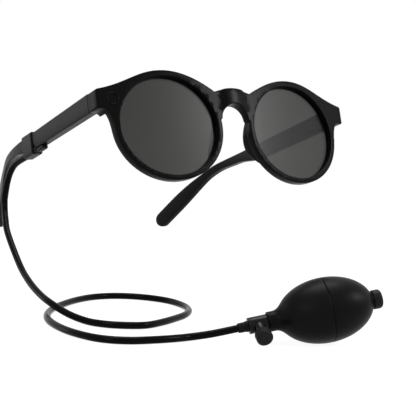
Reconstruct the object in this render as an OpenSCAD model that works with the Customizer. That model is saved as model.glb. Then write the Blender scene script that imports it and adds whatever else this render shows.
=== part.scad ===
// Sunglasses that squirt water from a nozzle in the left end piece, worked by a hand bulb on a hose.
// Origin: the nose seat. +X runs across the front to the wearer's left, +Z is up, the wearer looks along -Y.
// The glasses are held up by the nose seat, and the hose and the bulb lie on a surface below them.

/* [Placement] */
// Lean of the glasses: the top of the front tips back by this angle
front_lean = 18; // [10:1:22]
// Depth below the nose seat of the surface that carries the hose and the bulb
surface_drop = 92; // [90:1:98]

/* [Front] */
// Width across the two end pieces
front_w = 144; // [140:1:150]
// Radius of the front's bend round the face
front_r = 500; // [300:10:900]
// Depth of the nose seat behind the foremost point of the front
seat_y = 3; // [2:0.5:5]
// Thickness of the rims from front to back
rim_t = 4.5; // [4:0.1:6]
// Width of the rim round a lens
rim_w = 2.5; // [2:0.1:3.5]
// Distance between the two lens openings
bridge_w = 21.4; // [20:0.1:24]
// Distance from a lens opening to the side of the front
end_w = 10.3; // [9.5:0.1:12]
// Height of the lens centres
lens_z = -0.5; // [-2:0.1:1]
// Height of a lens opening
lens_h = 47.2; // [44:0.2:50]
// Height of the bridge's crown
bridge_top = 19; // [18:0.1:20]
// Height of the notches where the bridge meets the rims
notch_z = 17.1; // [16:0.1:17.6]
// Height of the keyhole's crown
key_top = 11.3; // [10:0.1:13]
// Radius of the keyhole
key_r = 7.5; // [7:0.1:8]
// Height of the brow line over the top of the rims
brow_rise = 0.5; // [0:0.1:1.5]
// Height of the end pieces' upper corner
end_top = 16; // [15:0.1:17]
// Height of the end pieces' lower corner
end_bottom = 6.7; // [6:0.1:7.4]
// Depth of the end pieces, from the front's corner to the temples
end_depth = 8.5; // [8:0.1:10]
// Thickness of the end pieces' side walls
end_t = 5.5; // [5:0.1:6]

/* [Lenses] */
// Thickness of a lens
lens_t = 1.4; // [1.1:0.1:1.5]
// Depth of the lens groove behind the front face
groove_y = 2.6; // [2:0.1:2.6]
// Reach of a lens into the groove
groove_w = 0.9; // [0.6:0.1:1.2]
// Width of the step round the opening on the front face
step_w = 0.4; // [0.2:0.1:0.8]
// Depth of that step
step_y = 0.4; // [0.2:0.1:0.8]
// Room round a lens in its groove
lens_gap = 0.08; // [0.04:0.02:0.12]

/* [Nose pads] */
// Height of a pad's upper end
pad_high = 5.3; // [4:0.1:6]
// Height of a pad's lower end
pad_low = -18; // [-19:0.5:-16]
// Reach of a pad behind the rim
pad_reach = 4.8; // [3:0.1:5.5]
// Step at the pads' long edges
pad_edge = 0.5; // [0.3:0.05:0.6]

/* [Hinges] */
// Radius of the hinge knuckles
knuckle_r = 1.5; // [1.3:0.1:1.7]
// Thickness of the hinge leaves
leaf_t = 1.2; // [1:0.1:1.4]
// Height of the lowest knuckle's foot
knuckle_z = 8; // [7.6:0.1:8.4]
// Height of one outer knuckle
knuckle_h = 2; // [1.6:0.1:2.2]
// Height of the middle knuckle
middle_h = 3; // [2.4:0.1:3.2]
// Radius of the hinge screw
screw_r = 0.7; // [0.5:0.05:0.8]
// Radius of the screw's head
screw_head_r = 1.25; // [1:0.05:1.4]
// Height of the screw's head
screw_head_h = 0.8; // [0.5:0.1:1]
// Length of the temple's leaf
leaf_l = 11; // [9:0.5:14]
// Radius of the pins that hold the leaves
leaf_pin_r = 0.6; // [0.4:0.05:0.7]
// Length of those pins
leaf_pin_l = 2; // [1.5:0.1:2.4]

/* [Temples] */
// Length of a temple from its hinge to its tip
temple_l = 151; // [146:1:154]
// Thickness of a temple
temple_t = 4.5; // [4.3:0.1:4.8]
// Place along a temple where it starts to curve inwards
curve_at = 71; // [71:1:76]
// Length of that curve
curve_l = 34; // [28:1:40]
// Inward turn of the tail behind the curve
tail_turn = 14.5; // [10:0.5:16]
// Place along a temple where it starts to bend down
bend_at = 92; // [90:1:96]
// Fall of the top edge from the hinge to the bend
top_fall = 2.1; // [1.5:0.1:2.4]
// Height of a temple's narrow waist at the bend
waist_h = 4.4; // [4.2:0.1:5]
// Drop of the tip's centre below the top edge at the hinge
tip_drop = 25.5; // [22:0.5:27]
// Radius of the rounded tips
tip_r = 4.5; // [4:0.1:5]
// Rounding of the temples' long edges
temple_edge = 0.6; // [0.3:0.1:0.8]
// Place along the right temple where its underside starts to rise
right_taper = 61; // [54:1:64]

/* [Water channel] */
// Height of the tube's centre
tube_z = 9.6; // [9.4:0.1:10]
// Outer radius of the tube in the temple
tube_r = 1; // [0.8:0.05:1.1]
// Radius of the tube's bore
tube_bore_r = 0.5; // [0.4:0.05:0.6]
// Place along the temple where the tube ends
tube_end = 60; // [59:0.5:61]
// Width of the strip that closes the channel
cover_w = 3.3; // [2.8:0.1:3.6]
// Thickness of that strip
cover_t = 0.8; // [0.6:0.1:0.9]
// Room round the tube and the strip
channel_gap = 0.06; // [0.04:0.01:0.1]

/* [Nozzle] */
// Distance of the nozzle's middle from the side of the front
nozzle_side = 7.7; // [6.5:0.1:9]
// Height of the nozzle
nozzle_z = 11.3; // [11:0.1:11.6]
// Outer radius of the nozzle's bezel
bezel_r = 3.1; // [2.9:0.1:3.3]
// Width of the bezel's ring
bezel_w = 0.7; // [0.5:0.1:0.8]
// Depth of the bezel and the jet's disc
bezel_h = 1.4; // [1.2:0.1:1.6]
// Radius of the jet's stem
jet_stem_r = 1.5; // [1.2:0.1:1.6]
// Radius of the jet's hole
jet_r = 0.4; // [0.3:0.05:0.6]
// Radius of the water passages
passage_r = 0.7; // [0.6:0.05:0.8]

/* [Hinge port seal] */
// Mean radius of the seal ring
seal_mean_r = 1.3; // [1.2:0.05:1.4]
// Radius of the seal ring's section
seal_r = 0.42; // [0.35:0.01:0.45]

/* [Hose collar] */
// Place along the left temple of the band's front edge
band_at = 60; // [59:0.5:61]
// Length of the band
band_l = 10.5; // [9.5:0.1:10.8]
// Wall of the band
band_t = 0.8; // [0.6:0.1:1]
// Place along the temple of the front end of the lug's nose
nose_at = 50.5; // [49:0.5:53]
// Place along the temple of the lug's front end
lug_at = 57.7; // [57:0.1:58.5]
// Place along the temple of the lug's rear face, where the hose starts
lug_end = 71; // [70.8:0.1:71]
// Radius of the lug
lug_r = 2.05; // [1.9:0.05:2.2]
// Height of the lug's flat top, under the temple
lug_top = 8.4; // [8.3:0.05:8.5]
// Depth of the hose's centre below the end pieces' lower corner
hose_below = 0.35; // [0.2:0.05:0.5]
// Radius of the barb inside the lug
barb_r = 1.1; // [1:0.05:1.2]
// Room between the lug and the hose, so that the temple can fold
fold_gap = 0.35; // [0.35:0.05:0.5]

/* [Hose] */
// Outer diameter of the hose
hose_d = 3.3; // [3:0.1:3.4]
// Room between the hose and the sleeve
hose_gap = 0.05; // [0.03:0.01:0.1]

/* [Bulb] */
// Distance of the bulb's belly to the right of the nose seat
bulb_x = 6.4; // [0:0.1:10]
// Distance of the bulb's belly in front of the nose seat
bulb_front = 67.6; // [60:0.1:70]
// Height of the bulb's belly above the surface
bulb_rest = 14.9; // [14.9:0.1:15.5]
// Turn of the bulb away from the front's own line
bulb_turn = 24.5; // [20:0.5:28]
// Slope of the bulb, its tail up
bulb_slope = 13.2; // [12:0.1:14]
// Radius of the bulb's belly
bulb_r = 14.35; // [13.5:0.05:14.5]
// Half length of the bulb's belly
bulb_half = 21.7; // [21:0.1:22.5]
// Wall of the bulb
bulb_wall = 2.2; // [1.6:0.1:2.6]
// Radius of the bulb's front neck
neck_r = 4.4; // [4.2:0.1:4.8]
// Radius of the bulb's tail neck
tail_r = 3.9; // [3.7:0.1:4.1]
// Bore of the necks
neck_bore_r = 2.8; // [2.6:0.1:3]
// Distance of the front neck's mouth from the belly
neck_at = 26.3; // [26:0.1:28]
// Distance of the tail neck's mouth from the belly
tail_at = 21.3; // [21.2:0.1:22]
// Length of the lap where the two shells join
lap_l = 2; // [1:0.1:3]

/* [Valve] */
// Radius of the valve's body
valve_r = 3.6; // [3.4:0.1:3.8]
// Length of the valve's body
valve_l = 8.7; // [8.5:0.1:9.5]
// Length of the spigots that sit in the bulb's necks
spigot_l = 6; // [5.6:0.1:6.4]
// Radius of the check balls
ball_r = 1.5; // [1.3:0.05:1.6]
// Travel of the check balls
ball_travel = 0.8; // [0.5:0.1:1]
// Length of the pressed valve seat
seat_l = 2; // [1.5:0.1:2.4]
// Radius of the hole in the valve seats
seat_hole_r = 0.9; // [0.7:0.05:1]
// Radius of the air screw's stem
stem_r = 1.2; // [1:0.05:1.3]
// Radius of the air screw's knob
knob_r = 3.7; // [3.4:0.1:4]
// Height of that knob
knob_h = 5; // [4.5:0.1:5.2]
// Distance of the air screw from the valve's end at the bulb
screw_at = 4.3; // [4.2:0.1:4.6]
// Distance of the knob's inner face from the valve's axis
knob_at = 7.5; // [7:0.1:7.8]
// Turn of the knob to the front, away from straight down
knob_roll = 69; // [66:1:90]
// Number of the knob's grip grooves
knob_grooves = 20; // [16:1:24]
// Radius of the sleeve on the hose's end
sleeve_r = 2.2; // [2.1:0.1:2.6]
// Length of that sleeve
sleeve_l = 4.6; // [4:0.1:6]
// Running room of parts that slide or turn
run_gap = 0.05; // [0.03:0.01:0.08]

/* [Hidden] */
$fn = 48;
GLOSS_BLACK = [0.06, 0.06, 0.065];
SATIN_BLACK = [0.13, 0.13, 0.135];
RUBBER_BLACK = [0.1, 0.1, 0.1];
SMOKE = [0.3, 0.31, 0.31];
STEEL = [0.62, 0.62, 0.64];
CLEAR = [0.8, 0.85, 0.88];

eps = 0.01;
cut = 1;
bend_fn = 720;
side_x = front_w / 2;
lens_w = side_x - end_w - bridge_w / 2;
lens_x = (bridge_w + lens_w) / 2;
nozzle_x = side_x - nozzle_side;
bend_y = front_r - seat_y;
function front_y(x, depth = 0) = bend_y - sqrt(pow(front_r - depth, 2) - x * x);
butt_y = front_y(side_x) + end_depth;
butt_gap = 0.05;
hinge_x = side_x - end_t - leaf_t;
hinge_top = knuckle_z + 2 * knuckle_h + middle_h;
knuckle_gap = 0.08;
temple_in = side_x - temple_t - hinge_x;
temple_mid = temple_in + temple_t / 2;
port_x = hinge_x + temple_mid;
nozzle_turn = asin(nozzle_x / front_r);
hose_z = end_bottom - hose_below;
tail_bore_r = ball_r + 0.2;
temple_pin_l = temple_t / 2 - tube_r - channel_gap - 0.12;

// Curves

function on_bezier(p, t) =
    pow(1 - t, 3) * p[0] + 3 * pow(1 - t, 2) * t * p[1] + 3 * (1 - t) * t * t * p[2] + pow(t, 3) * p[3];
function bezier(p, n) = [for (i = [0:n]) on_bezier(p, i / n)];
function ellipse_arc(centre, a, b, from, to, n) =
    [for (i = [0:n]) let (t = from + (to - from) * i / n) centre + [a * cos(t), b * sin(t)]];
function reversed(p) = [for (i = [len(p) - 1:-1:0]) p[i]];
function mirrored(p) = reversed([for (q = p) [-q[0], q[1]]]);

// Placing

module worn() {
    rotate([-front_lean, 0, 0])
        children();
}

module side(s) {
    if (s < 0)
        mirror([1, 0, 0]) children();
    else
        children();
}

module at_hinge(s) {
    worn()
        side(s)
            translate([hinge_x, butt_y, 0])
                children();
}

module extrude_y(from, to) {
    translate([0, to, 0])
        rotate([90, 0, 0])
            linear_extrude(to - from)
                children();
}

module bent_slab(from, to) {
    translate([0, bend_y, -front_w / 2])
        difference() {
            cylinder(r = front_r - from, h = front_w, $fn = bend_fn);
            translate([0, 0, -cut])
                cylinder(r = front_r - to, h = front_w + 2 * cut, $fn = bend_fn);
        }
}

module rod(p, q, r) {
    d = q - p;
    translate(p)
        rotate([0, acos(d[2] / norm(d)), atan2(d[1], d[0])])
            cylinder(r = r, h = norm(d));
}

// Front

rim_a = lens_w / 2 + rim_w;
rim_b = lens_h / 2 + rim_w;
notch_x = bridge_w / 2 - rim_w + 2.2;
brow_top = lens_z + rim_b + brow_rise;
rim_low = -6;
key_leg = 3;
function rim_point(t) = [lens_x + rim_a * cos(t), lens_z + rim_b * sin(t)];
leg_angle = 180 + asin((lens_z - key_leg) / rim_b);
end_low = rim_point(rim_low);
half_outline = concat(
    bezier([[0, bridge_top], [4.5, bridge_top], [notch_x - 3.9, notch_z + 1.2], [notch_x, notch_z]], 8),
    bezier([[notch_x, notch_z], [notch_x + 4.8, notch_z + 3.1], [lens_x - 11.2, brow_top],
        [lens_x + 0.3, brow_top]], 16),
    bezier([[lens_x + 0.3, brow_top], [lens_x + 13.8, brow_top], [side_x - 16, end_top + 3],
        [side_x - 0.4, end_top]], 18),
    [[side_x, end_top - 0.5], [side_x, end_bottom + 1], [side_x - 0.8, end_bottom]],
    bezier([[side_x - 3, end_bottom], [side_x - 6.5, end_bottom], end_low + [0.6, 4], end_low], 7),
    ellipse_arc([lens_x, lens_z], rim_a, rim_b, rim_low - 4, leg_angle - 360, 44),
    [for (t = [0:9:81]) [key_r * cos(t), key_top - key_r + key_r * sin(t)]]
);

module front_outline() {
    polygon(concat([for (p = half_outline) p], [[0, key_top]], mirrored([for (p = half_outline) if (p[0] > 0) p])));
}

module lens_outline(grow) {
    polygon(ellipse_arc([lens_x, lens_z], lens_w / 2 + grow, lens_h / 2 + grow, 0, 355, 71));
}

pad_foot = front_y(lens_x - rim_a, rim_t) - 0.6;
pad_x = lens_x - rim_a - cut;
function pad_profile(reach) = concat(
    [[pad_foot, pad_low], [pad_foot, pad_high]],
    bezier([[pad_foot + 0.7, pad_high], [pad_foot + 0.5 * reach, pad_high - 2.5],
        [pad_foot + reach, pad_high - 9], [pad_foot + reach, pad_high - 13.3]], 8),
    bezier([[pad_foot + reach, pad_high - 13.6], [pad_foot + reach, pad_low + 6],
        [pad_foot + 0.6 * reach, pad_low + 2], [pad_foot + 0.7, pad_low]], 8)
);
function pad_line(grow, n) = ellipse_arc([lens_x, lens_z], lens_w / 2 + grow, lens_h / 2 + grow, 160, 225, n);

module pad_layer(inset, reach) {
    intersection() {
        extrude_y(pad_foot, pad_foot + pad_reach + cut)
            polygon(concat(pad_line(rim_w - 0.1 - inset, 12), reversed(pad_line(0.1 + inset, 12))));
        translate([pad_x, 0, 0])
            rotate([90, 0, 90])
                linear_extrude(lens_x - pad_x)
                    polygon(pad_profile(reach));
    }
}

module nose_pad() {
    pad_layer(0, 0.6 + pad_reach - pad_edge);
    pad_layer(pad_edge, 0.6 + pad_reach);
}

module end_block() {
    intersection() {
        extrude_y(-seat_y, butt_y)
            front_outline();
        translate([0, bend_y, -front_w / 2])
            cylinder(r = front_r, h = front_w, $fn = bend_fn);
        translate([side_x - end_t, -seat_y, 0])
            cube([end_t, butt_y + seat_y, 2 * end_top]);
    }
}

module at_nozzle() {
    worn()
        translate([-nozzle_x, front_y(nozzle_x), nozzle_z])
            rotate([0, 0, -nozzle_turn])
                rotate([-90, 0, 0])
                    children();
}

module hinge_notch() {
    translate([hinge_x, butt_y, knuckle_z - 0.5])
        cylinder(r = knuckle_r + 0.12, h = 2 * end_top);
}

module leaf_pins(length, y, grow = 0) {
    for (z = [1.5, hinge_top - knuckle_z - 1.5])
        translate([0, y, knuckle_z + z])
            rotate([0, 90, 0])
                cylinder(r = leaf_pin_r + grow, h = length + grow);
}

front_pin_y = butt_y - 2.6;
chamber = [-nozzle_x + 0.4, front_y(nozzle_x) + 2.6, nozzle_z];
elbow = [-port_x, front_y(port_x) + 4.2, tube_z];

module front_frame() {
    color(GLOSS_BLACK)
        difference() {
            worn()
                difference() {
                    union() {
                        intersection() {
                            extrude_y(-seat_y - cut, butt_y)
                                front_outline();
                            bent_slab(0, rim_t);
                        }
                        for (s = [-1, 1])
                            side(s) {
                                end_block();
                                nose_pad();
                            }
                    }
                    for (s = [-1, 1])
                        side(s) {
                            extrude_y(-seat_y - cut, butt_y)
                                lens_outline(0);
                            intersection() {
                                extrude_y(-seat_y - cut, butt_y)
                                    lens_outline(groove_w + lens_gap);
                                bent_slab(groove_y - lens_gap, groove_y + lens_t + lens_gap);
                            }
                            intersection() {
                                extrude_y(-seat_y - cut, butt_y)
                                    lens_outline(step_w);
                                bent_slab(-cut, step_y);
                            }
                            hinge_notch();
                            translate([side_x - end_t - eps, 0, 0])
                                leaf_pins(leaf_pin_l, front_pin_y, 0.03);
                        }
                    rod(chamber, elbow, passage_r);
                    rod(elbow, [-port_x, butt_y + cut, tube_z], passage_r);
                    translate(elbow)
                        sphere(passage_r + 0.15);
                    translate([-port_x, butt_y - 2 * seal_r - 0.06, tube_z])
                        rotate([-90, 0, 0])
                            difference() {
                                cylinder(r = seal_mean_r + seal_r + 0.04, h = 2);
                                translate([0, 0, -cut])
                                    cylinder(r = seal_mean_r - seal_r - 0.04, h = 4);
                            }
                }
            at_nozzle() {
                translate([0, 0, -cut])
                    cylinder(r = bezel_r + 0.03, h = bezel_h + cut + 0.03);
                cylinder(r = jet_stem_r + 0.03, h = 3.4);
            }
        }
}

module lens(s) {
    color(SMOKE)
        worn()
            side(s)
                intersection() {
                    extrude_y(-seat_y - cut, butt_y)
                        lens_outline(groove_w);
                    bent_slab(groove_y, groove_y + lens_t);
                }
}

module left_lens() lens(-1);

module right_lens() lens(1);

module nozzle_bezel() {
    color(GLOSS_BLACK)
        at_nozzle()
            rotate_extrude()
                polygon(concat(
                    [[bezel_r, bezel_h], [bezel_r, -0.1]],
                    [for (t = [30:30:150]) [bezel_r - bezel_w / 2 + bezel_w / 2 * cos(t), -0.1 - 0.25 * sin(t)]],
                    [[bezel_r - bezel_w, -0.1], [bezel_r - bezel_w, bezel_h]]
                ));
}

module nozzle_jet() {
    color(SATIN_BLACK)
        at_nozzle()
            difference() {
                union() {
                    cylinder(r = bezel_r - bezel_w - 0.04, h = bezel_h);
                    cylinder(r = jet_stem_r, h = 3.2);
                }
                translate([0, 0, -cut])
                    cylinder(r = jet_r, h = 6);
                translate([0, 0, -eps])
                    cylinder(r1 = 0.9, r2 = jet_r, h = 0.5);
                translate([0, 0, 1.6])
                    cylinder(r = passage_r, h = 4);
            }
}

module port_seal() {
    color(RUBBER_BLACK)
        worn()
            translate([-port_x, butt_y - seal_r - 0.02, tube_z])
                rotate([-90, 0, 0])
                    rotate_extrude()
                        translate([seal_mean_r, 0])
                            circle(seal_r, $fn = 24);
}

// Hinges

module front_leaf(s) {
    color(STEEL)
        worn()
            side(s)
                difference() {
                    union() {
                        translate([hinge_x, front_y(hinge_x, rim_t) + 0.25, knuckle_z])
                            cube([leaf_t, butt_y - front_y(hinge_x, rim_t) - 0.25, hinge_top - knuckle_z]);
                        translate([hinge_x, butt_y, knuckle_z])
                            cylinder(r = knuckle_r, h = hinge_top - knuckle_z);
                        translate([side_x - end_t - eps, 0, 0])
                            leaf_pins(leaf_pin_l, front_pin_y);
                    }
                    translate([hinge_x, butt_y, knuckle_z + knuckle_h])
                        cylinder(r = knuckle_r + 0.12, h = middle_h);
                    translate([hinge_x, butt_y, 0])
                        cylinder(r = screw_r + run_gap, h = 2 * end_top);
                }
}

module left_front_leaf() front_leaf(-1);

module right_front_leaf() front_leaf(1);

module hinge_screw(s) {
    color(STEEL)
        worn()
            side(s)
                translate([hinge_x, butt_y, 0])
                    difference() {
                        union() {
                            translate([0, 0, knuckle_z - 0.3])
                                cylinder(r = screw_r, h = hinge_top - knuckle_z + 0.3);
                            translate([0, 0, hinge_top + 0.02])
                                cylinder(r = screw_head_r, h = screw_head_h);
                            translate([0, 0, hinge_top - 0.1])
                                cylinder(r = screw_r, h = 0.2);
                        }
                        translate([-screw_head_r - cut, -0.2, hinge_top + screw_head_h - 0.35])
                            cube([2 * screw_head_r + 2 * cut, 0.4, 1]);
                    }
}

module left_hinge_screw() hinge_screw(-1);

module right_hinge_screw() hinge_screw(1);

module temple_leaf(s) {
    low = knuckle_z + knuckle_h + knuckle_gap;
    tall = middle_h - 2 * knuckle_gap;
    color(STEEL)
        at_hinge(s)
            difference() {
                union() {
                    translate([0, 0, low])
                        cylinder(r = knuckle_r, h = tall);
                    translate([0, 0, low])
                        cube([temple_in, knuckle_r + 1, tall]);
                    translate([temple_in - leaf_t, knuckle_r + 0.5, knuckle_z + 0.5])
                        cube([leaf_t, leaf_l, hinge_top - knuckle_z - 1]);
                    translate([temple_in - eps, 0, 0])
                        leaf_pins(temple_pin_l, leaf_l - 1.5);
                }
                cylinder(r = screw_r + run_gap, h = 2 * end_top);
            }
}

module left_temple_leaf() temple_leaf(-1);

module right_temple_leaf() temple_leaf(1);

// Temples

tip_z = end_top - tip_drop;
tip_y = temple_l - tip_r;
waist_low = end_top - top_fall - waist_h;
waist_z = waist_low + waist_h / 2;
tail_line = [[bend_at, waist_z], [bend_at + 12, waist_z - 0.5], [bend_at + 20, waist_z - 3.9], [tip_y, tip_z]];
tail_steps = 14;
function smooth(t) = let (c = min(max(t, 0), 1)) c * c * (3 - 2 * c);
function tail_way(t) = unit(on_bezier(tail_line, t + 0.01) - on_bezier(tail_line, t - 0.01));
function tail_edge(t, s) =
    let (way = tail_way(t), half = waist_h / 2 + (tip_r - waist_h / 2) * smooth((t - 0.38) / 0.5))
    on_bezier(tail_line, t) + s * half * [-way[1], way[0]];
tip_turn = atan2(tail_way(1)[1], tail_way(1)[0]);
front_end = -2;
function temple_profile(underside) = concat(
    [[front_end, end_bottom], [front_end, end_top]],
    bezier([[0, end_top], [40, end_top - 0.6], [bend_at - 17, end_top - 1], [bend_at - 2, end_top - 1.9]], 7),
    [for (i = [0:tail_steps]) tail_edge(i / tail_steps, 1)],
    ellipse_arc([tip_y, tip_z], tip_r, tip_r, tip_turn + 75, tip_turn - 75, 10),
    [for (i = [tail_steps:-1:0]) tail_edge(i / tail_steps, -1)],
    underside
);
right_underside = bezier([[right_taper + 21, waist_low], [right_taper + 12, waist_low],
    [right_taper + 8, end_bottom], [right_taper, end_bottom]], 8);
left_roof = lug_top + channel_gap;
left_underside = [[lug_end + 12, waist_low], [lug_end + 2, left_roof], [lug_at - 0.1, left_roof],
    [lug_at - 0.1, end_bottom]];
function tail_in(s) =
    let (c = min(max(s - curve_at, 0), curve_l))
    tan(tail_turn) * (c * c / (2 * curve_l) + max(s - curve_at - curve_l, 0));
plan_stations = concat([front_end], [for (i = [0:8]) curve_at + curve_l * i / 8], [temple_l + cut]);
function temple_plan(inset) = concat(
    [for (s = plan_stations) [temple_in + inset - tail_in(s), s]],
    reversed([for (s = plan_stations) [temple_in + temple_t - inset - tail_in(s), s]])
);

module temple_layer(underside, inset, shrink) {
    intersection() {
        translate([temple_in - tail_in(temple_l) - cut, 0, 0])
            rotate([90, 0, 90])
                linear_extrude(tail_in(temple_l) + temple_t + 2 * cut)
                    offset(delta = -shrink)
                        polygon(temple_profile(underside));
        translate([0, 0, tip_z - 2 * tip_r])
            linear_extrude(end_top - tip_z + 3 * tip_r)
                polygon(temple_plan(inset));
    }
}

module temple_bar(underside) {
    difference() {
        union() {
            temple_layer(underside, 0, temple_edge);
            temple_layer(underside, 0.3 * temple_edge, 0.3 * temple_edge);
            temple_layer(underside, temple_edge, 0);
        }
        translate([0, butt_gap + front_end - cut, end_bottom - cut])
            cube([temple_in + temple_t + cut, cut - front_end, end_top]);
        translate([temple_in - eps, 0, 0])
            leaf_pins(temple_pin_l, leaf_l - 1.5, 0.03);
    }
}

cover_from = 5;
cover_to = lug_at - 1.5;
riser_at = tube_end + 1.6;
riser_r = tube_r + 0.1;

module left_temple() {
    color(SATIN_BLACK)
        at_hinge(-1)
            difference() {
                temple_bar(left_underside);
                translate([temple_mid, -cut, tube_z])
                    rotate([-90, 0, 0])
                        cylinder(r = tube_r + channel_gap, h = riser_at + riser_r + cut + 0.2);
                translate([temple_mid - tube_r - channel_gap, cover_from + 1, end_bottom])
                    cube([2 * (tube_r + channel_gap), riser_at - cover_from - 1, tube_z - end_bottom]);
                translate([temple_mid, riser_at, end_bottom - cut])
                    cylinder(r = riser_r + channel_gap, h = tube_z - end_bottom + cut);
                translate([temple_mid - cover_w / 2 - channel_gap, cover_from - channel_gap, end_bottom - cut])
                    cube([cover_w + 2 * channel_gap, cover_to - cover_from + 2 * channel_gap,
                        cut + cover_t + channel_gap]);
            }
}

module right_temple() {
    color(SATIN_BLACK)
        at_hinge(1)
            temple_bar(right_underside);
}

module temple_tube() {
    color(CLEAR)
        at_hinge(-1)
            translate([temple_mid, 0.5, tube_z])
                rotate([-90, 0, 0])
                    difference() {
                        cylinder(r = tube_r, h = tube_end - 0.5);
                        translate([0, 0, -cut])
                            cylinder(r = tube_bore_r, h = tube_end + 2 * cut);
                    }
}

module channel_cover() {
    color(SATIN_BLACK)
        at_hinge(-1)
            translate([temple_mid - cover_w / 2, cover_from, end_bottom])
                cube([cover_w, cover_to - cover_from, cover_t]);
}

// Hose collar

module rounded(w, h, r) {
    square([w, h - 2 * r], center = true);
    square([w - 2 * r, h], center = true);
    for (x = [-1, 1], y = [-1, 1])
        translate([x * (w / 2 - r), y * (h / 2 - r)])
            circle(r);
}

module along(from, to, z) {
    translate([temple_mid, to, z])
        rotate([90, 0, 0])
            linear_extrude(to - from)
                children();
}

band_w = temple_t + 2 * band_t;
band_foot = hose_z - lug_r;
band_roof = end_top - 0.1;
nose_top = end_bottom - channel_gap;

module hose_collar() {
    color(GLOSS_BLACK)
        at_hinge(-1)
            difference() {
                union() {
                    along(band_at, band_at + band_l, (band_foot + band_roof) / 2)
                        rounded(band_w, band_roof - band_foot, 1.4);
                    along(lug_at, lug_end, hose_z)
                        circle(lug_r);
                    along(lug_at, lug_end, (hose_z + lug_top) / 2)
                        square([2 * lug_r, lug_top - hose_z], center = true);
                    along(nose_at, lug_at + 1, nose_top - 1)
                        rounded(cover_w, 2, 0.7);
                }
                along(band_at - cut, band_at + band_l + cut, (lug_top + band_roof - band_t) / 2 + 0.1)
                    square([temple_t + 2 * channel_gap, band_roof - band_t - lug_top + 0.2], center = true);
                along(riser_at - riser_r - 0.2, lug_end + cut, hose_z)
                    circle(barb_r + channel_gap);
                translate([temple_mid, riser_at, hose_z])
                    cylinder(r = riser_r + channel_gap, h = tube_z);
            }
}

module hose_barb() {
    color(STEEL)
        at_hinge(-1)
            difference() {
                union() {
                    along(riser_at - riser_r, lug_end, hose_z)
                        circle(barb_r);
                    translate([temple_mid, riser_at, hose_z])
                        cylinder(r = riser_r, h = tube_z - hose_z);
                    along(riser_at - 4, riser_at, tube_z)
                        circle(tube_bore_r - 0.03);
                }
                along(riser_at, lug_end + cut, hose_z)
                    circle(passage_r);
                translate([temple_mid, riser_at, hose_z])
                    cylinder(r = passage_r, h = tube_z - hose_z - 0.3);
                along(riser_at - 4 - cut, riser_at, tube_z)
                    circle(tube_bore_r / 2);
            }
}

// Hose

lean_y = cos(front_lean);
lean_z = sin(front_lean);
function from_worn(p) = [p[0], p[1] * lean_y + p[2] * lean_z, -p[1] * lean_z + p[2] * lean_y];
function on_left_temple(s) = from_worn([-port_x, butt_y + s, hose_z]);
bulb_axis = [cos(bulb_turn) * cos(bulb_slope), -sin(bulb_turn) * cos(bulb_slope), sin(bulb_slope)];
bulb_centre = [bulb_x, -bulb_front, bulb_rest - surface_drop];
nipple_l = 1.2;
hose_stop = bulb_centre - bulb_axis * (neck_at + valve_l + nipple_l + 0.02);
// Places along the hose: right of the nose seat, behind it, and above the surface
hose_places = [
    [-71, 90, 68.7], [-71.5, 95, 64.8], [-71.5, 99, 59.3], [-71.9, 101, 51.2], [-72.2, 100, 45],
    [-73.7, 95, 39.3], [-75.5, 87, 32.4], [-77, 68, 19], [-79, 52, 13], [-80, 38, 9.2], [-80, 26, 6.8],
    [-77, 14, 3.6], [-73, 4, 1.9], [-69, -4, 1.7], [-62, -10, 1.7], [-52, -13, 1.7], [-41, -9, 1.7],
    [-29, -2, 1.7], [-18, 6, 1.7], [-9, 17, 1.7], [-4, 31, 1.7], [-4, 46, 1.7], [-11, 59, 1.7],
    [-22, 66, 1.7], [-35, 66, 1.7], [-48, 60, 1.7], [-61, 50, 1.7], [-73, 38, 1.7], [-83, 23, 1.7],
    [-89, 7, 1.7], [-91.2, -12, 1.7], [-89, -28, 1.7], [-84, -37, 1.7], [-76, -42, 1.7], [-66, -43.7, 1.7],
    [-56, -44, 1.7], [-47, -43.4, 1.8]
];
hose_route = concat(
    [on_left_temple(lug_end + fold_gap)],
    [for (p = hose_places) [p[0], p[1], p[2] - surface_drop]],
    [hose_stop - bulb_axis * 14, hose_stop]
);
hose_start_way = from_worn([0, 1, 0]);
function route_point(i) =
    i < 0 ? hose_route[0] - hose_start_way * 8 :
    i >= len(hose_route) ? hose_stop + bulb_axis * 8 : hose_route[i];
function along_route(i, t) =
    let (a = route_point(i - 1), b = route_point(i), c = route_point(i + 1), d = route_point(i + 2))
    0.5 * ((2 * b) + (c - a) * t + (2 * a - 5 * b + 4 * c - d) * t * t + (3 * b - a - 3 * c + d) * t * t * t);
steps = 2;
hose_line = concat(
    [for (i = [0:len(hose_route) - 2], k = [0:steps - 1]) along_route(i, k / steps)],
    [hose_stop]
);
function unit(v) = v / norm(v);
function heading(i) =
    i == 0 ? hose_start_way :
    i == len(hose_line) - 1 ? bulb_axis : unit(hose_line[i + 1] - hose_line[i - 1]);
function carried(side, way) = unit(side - (side * way) * way);
function sides(i) = i == 0 ? carried([1, 0, 0], heading(0)) : carried(sides(i - 1), heading(i));
hose_sides = 8;

module hose() {
    rings = len(hose_line);
    points = [for (i = [0:rings - 1])
        let (way = heading(i), u = sides(i), v = cross(way, u))
        for (k = [0:hose_sides - 1])
            hose_line[i] + hose_d / 2 * (cos(360 * k / hose_sides) * u + sin(360 * k / hose_sides) * v)];
    walls = [for (i = [0:rings - 2], k = [0:hose_sides - 1])
        let (a = i * hose_sides + k, b = i * hose_sides + (k + 1) % hose_sides)
        each [[a, a + hose_sides, b], [b, a + hose_sides, b + hose_sides]]];
    start = [[for (k = [0:hose_sides - 1]) k]];
    stop = [[for (k = [hose_sides - 1:-1:0]) (rings - 1) * hose_sides + k]];
    color(RUBBER_BLACK)
        polyhedron(points, concat(start, walls, stop));
}

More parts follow.
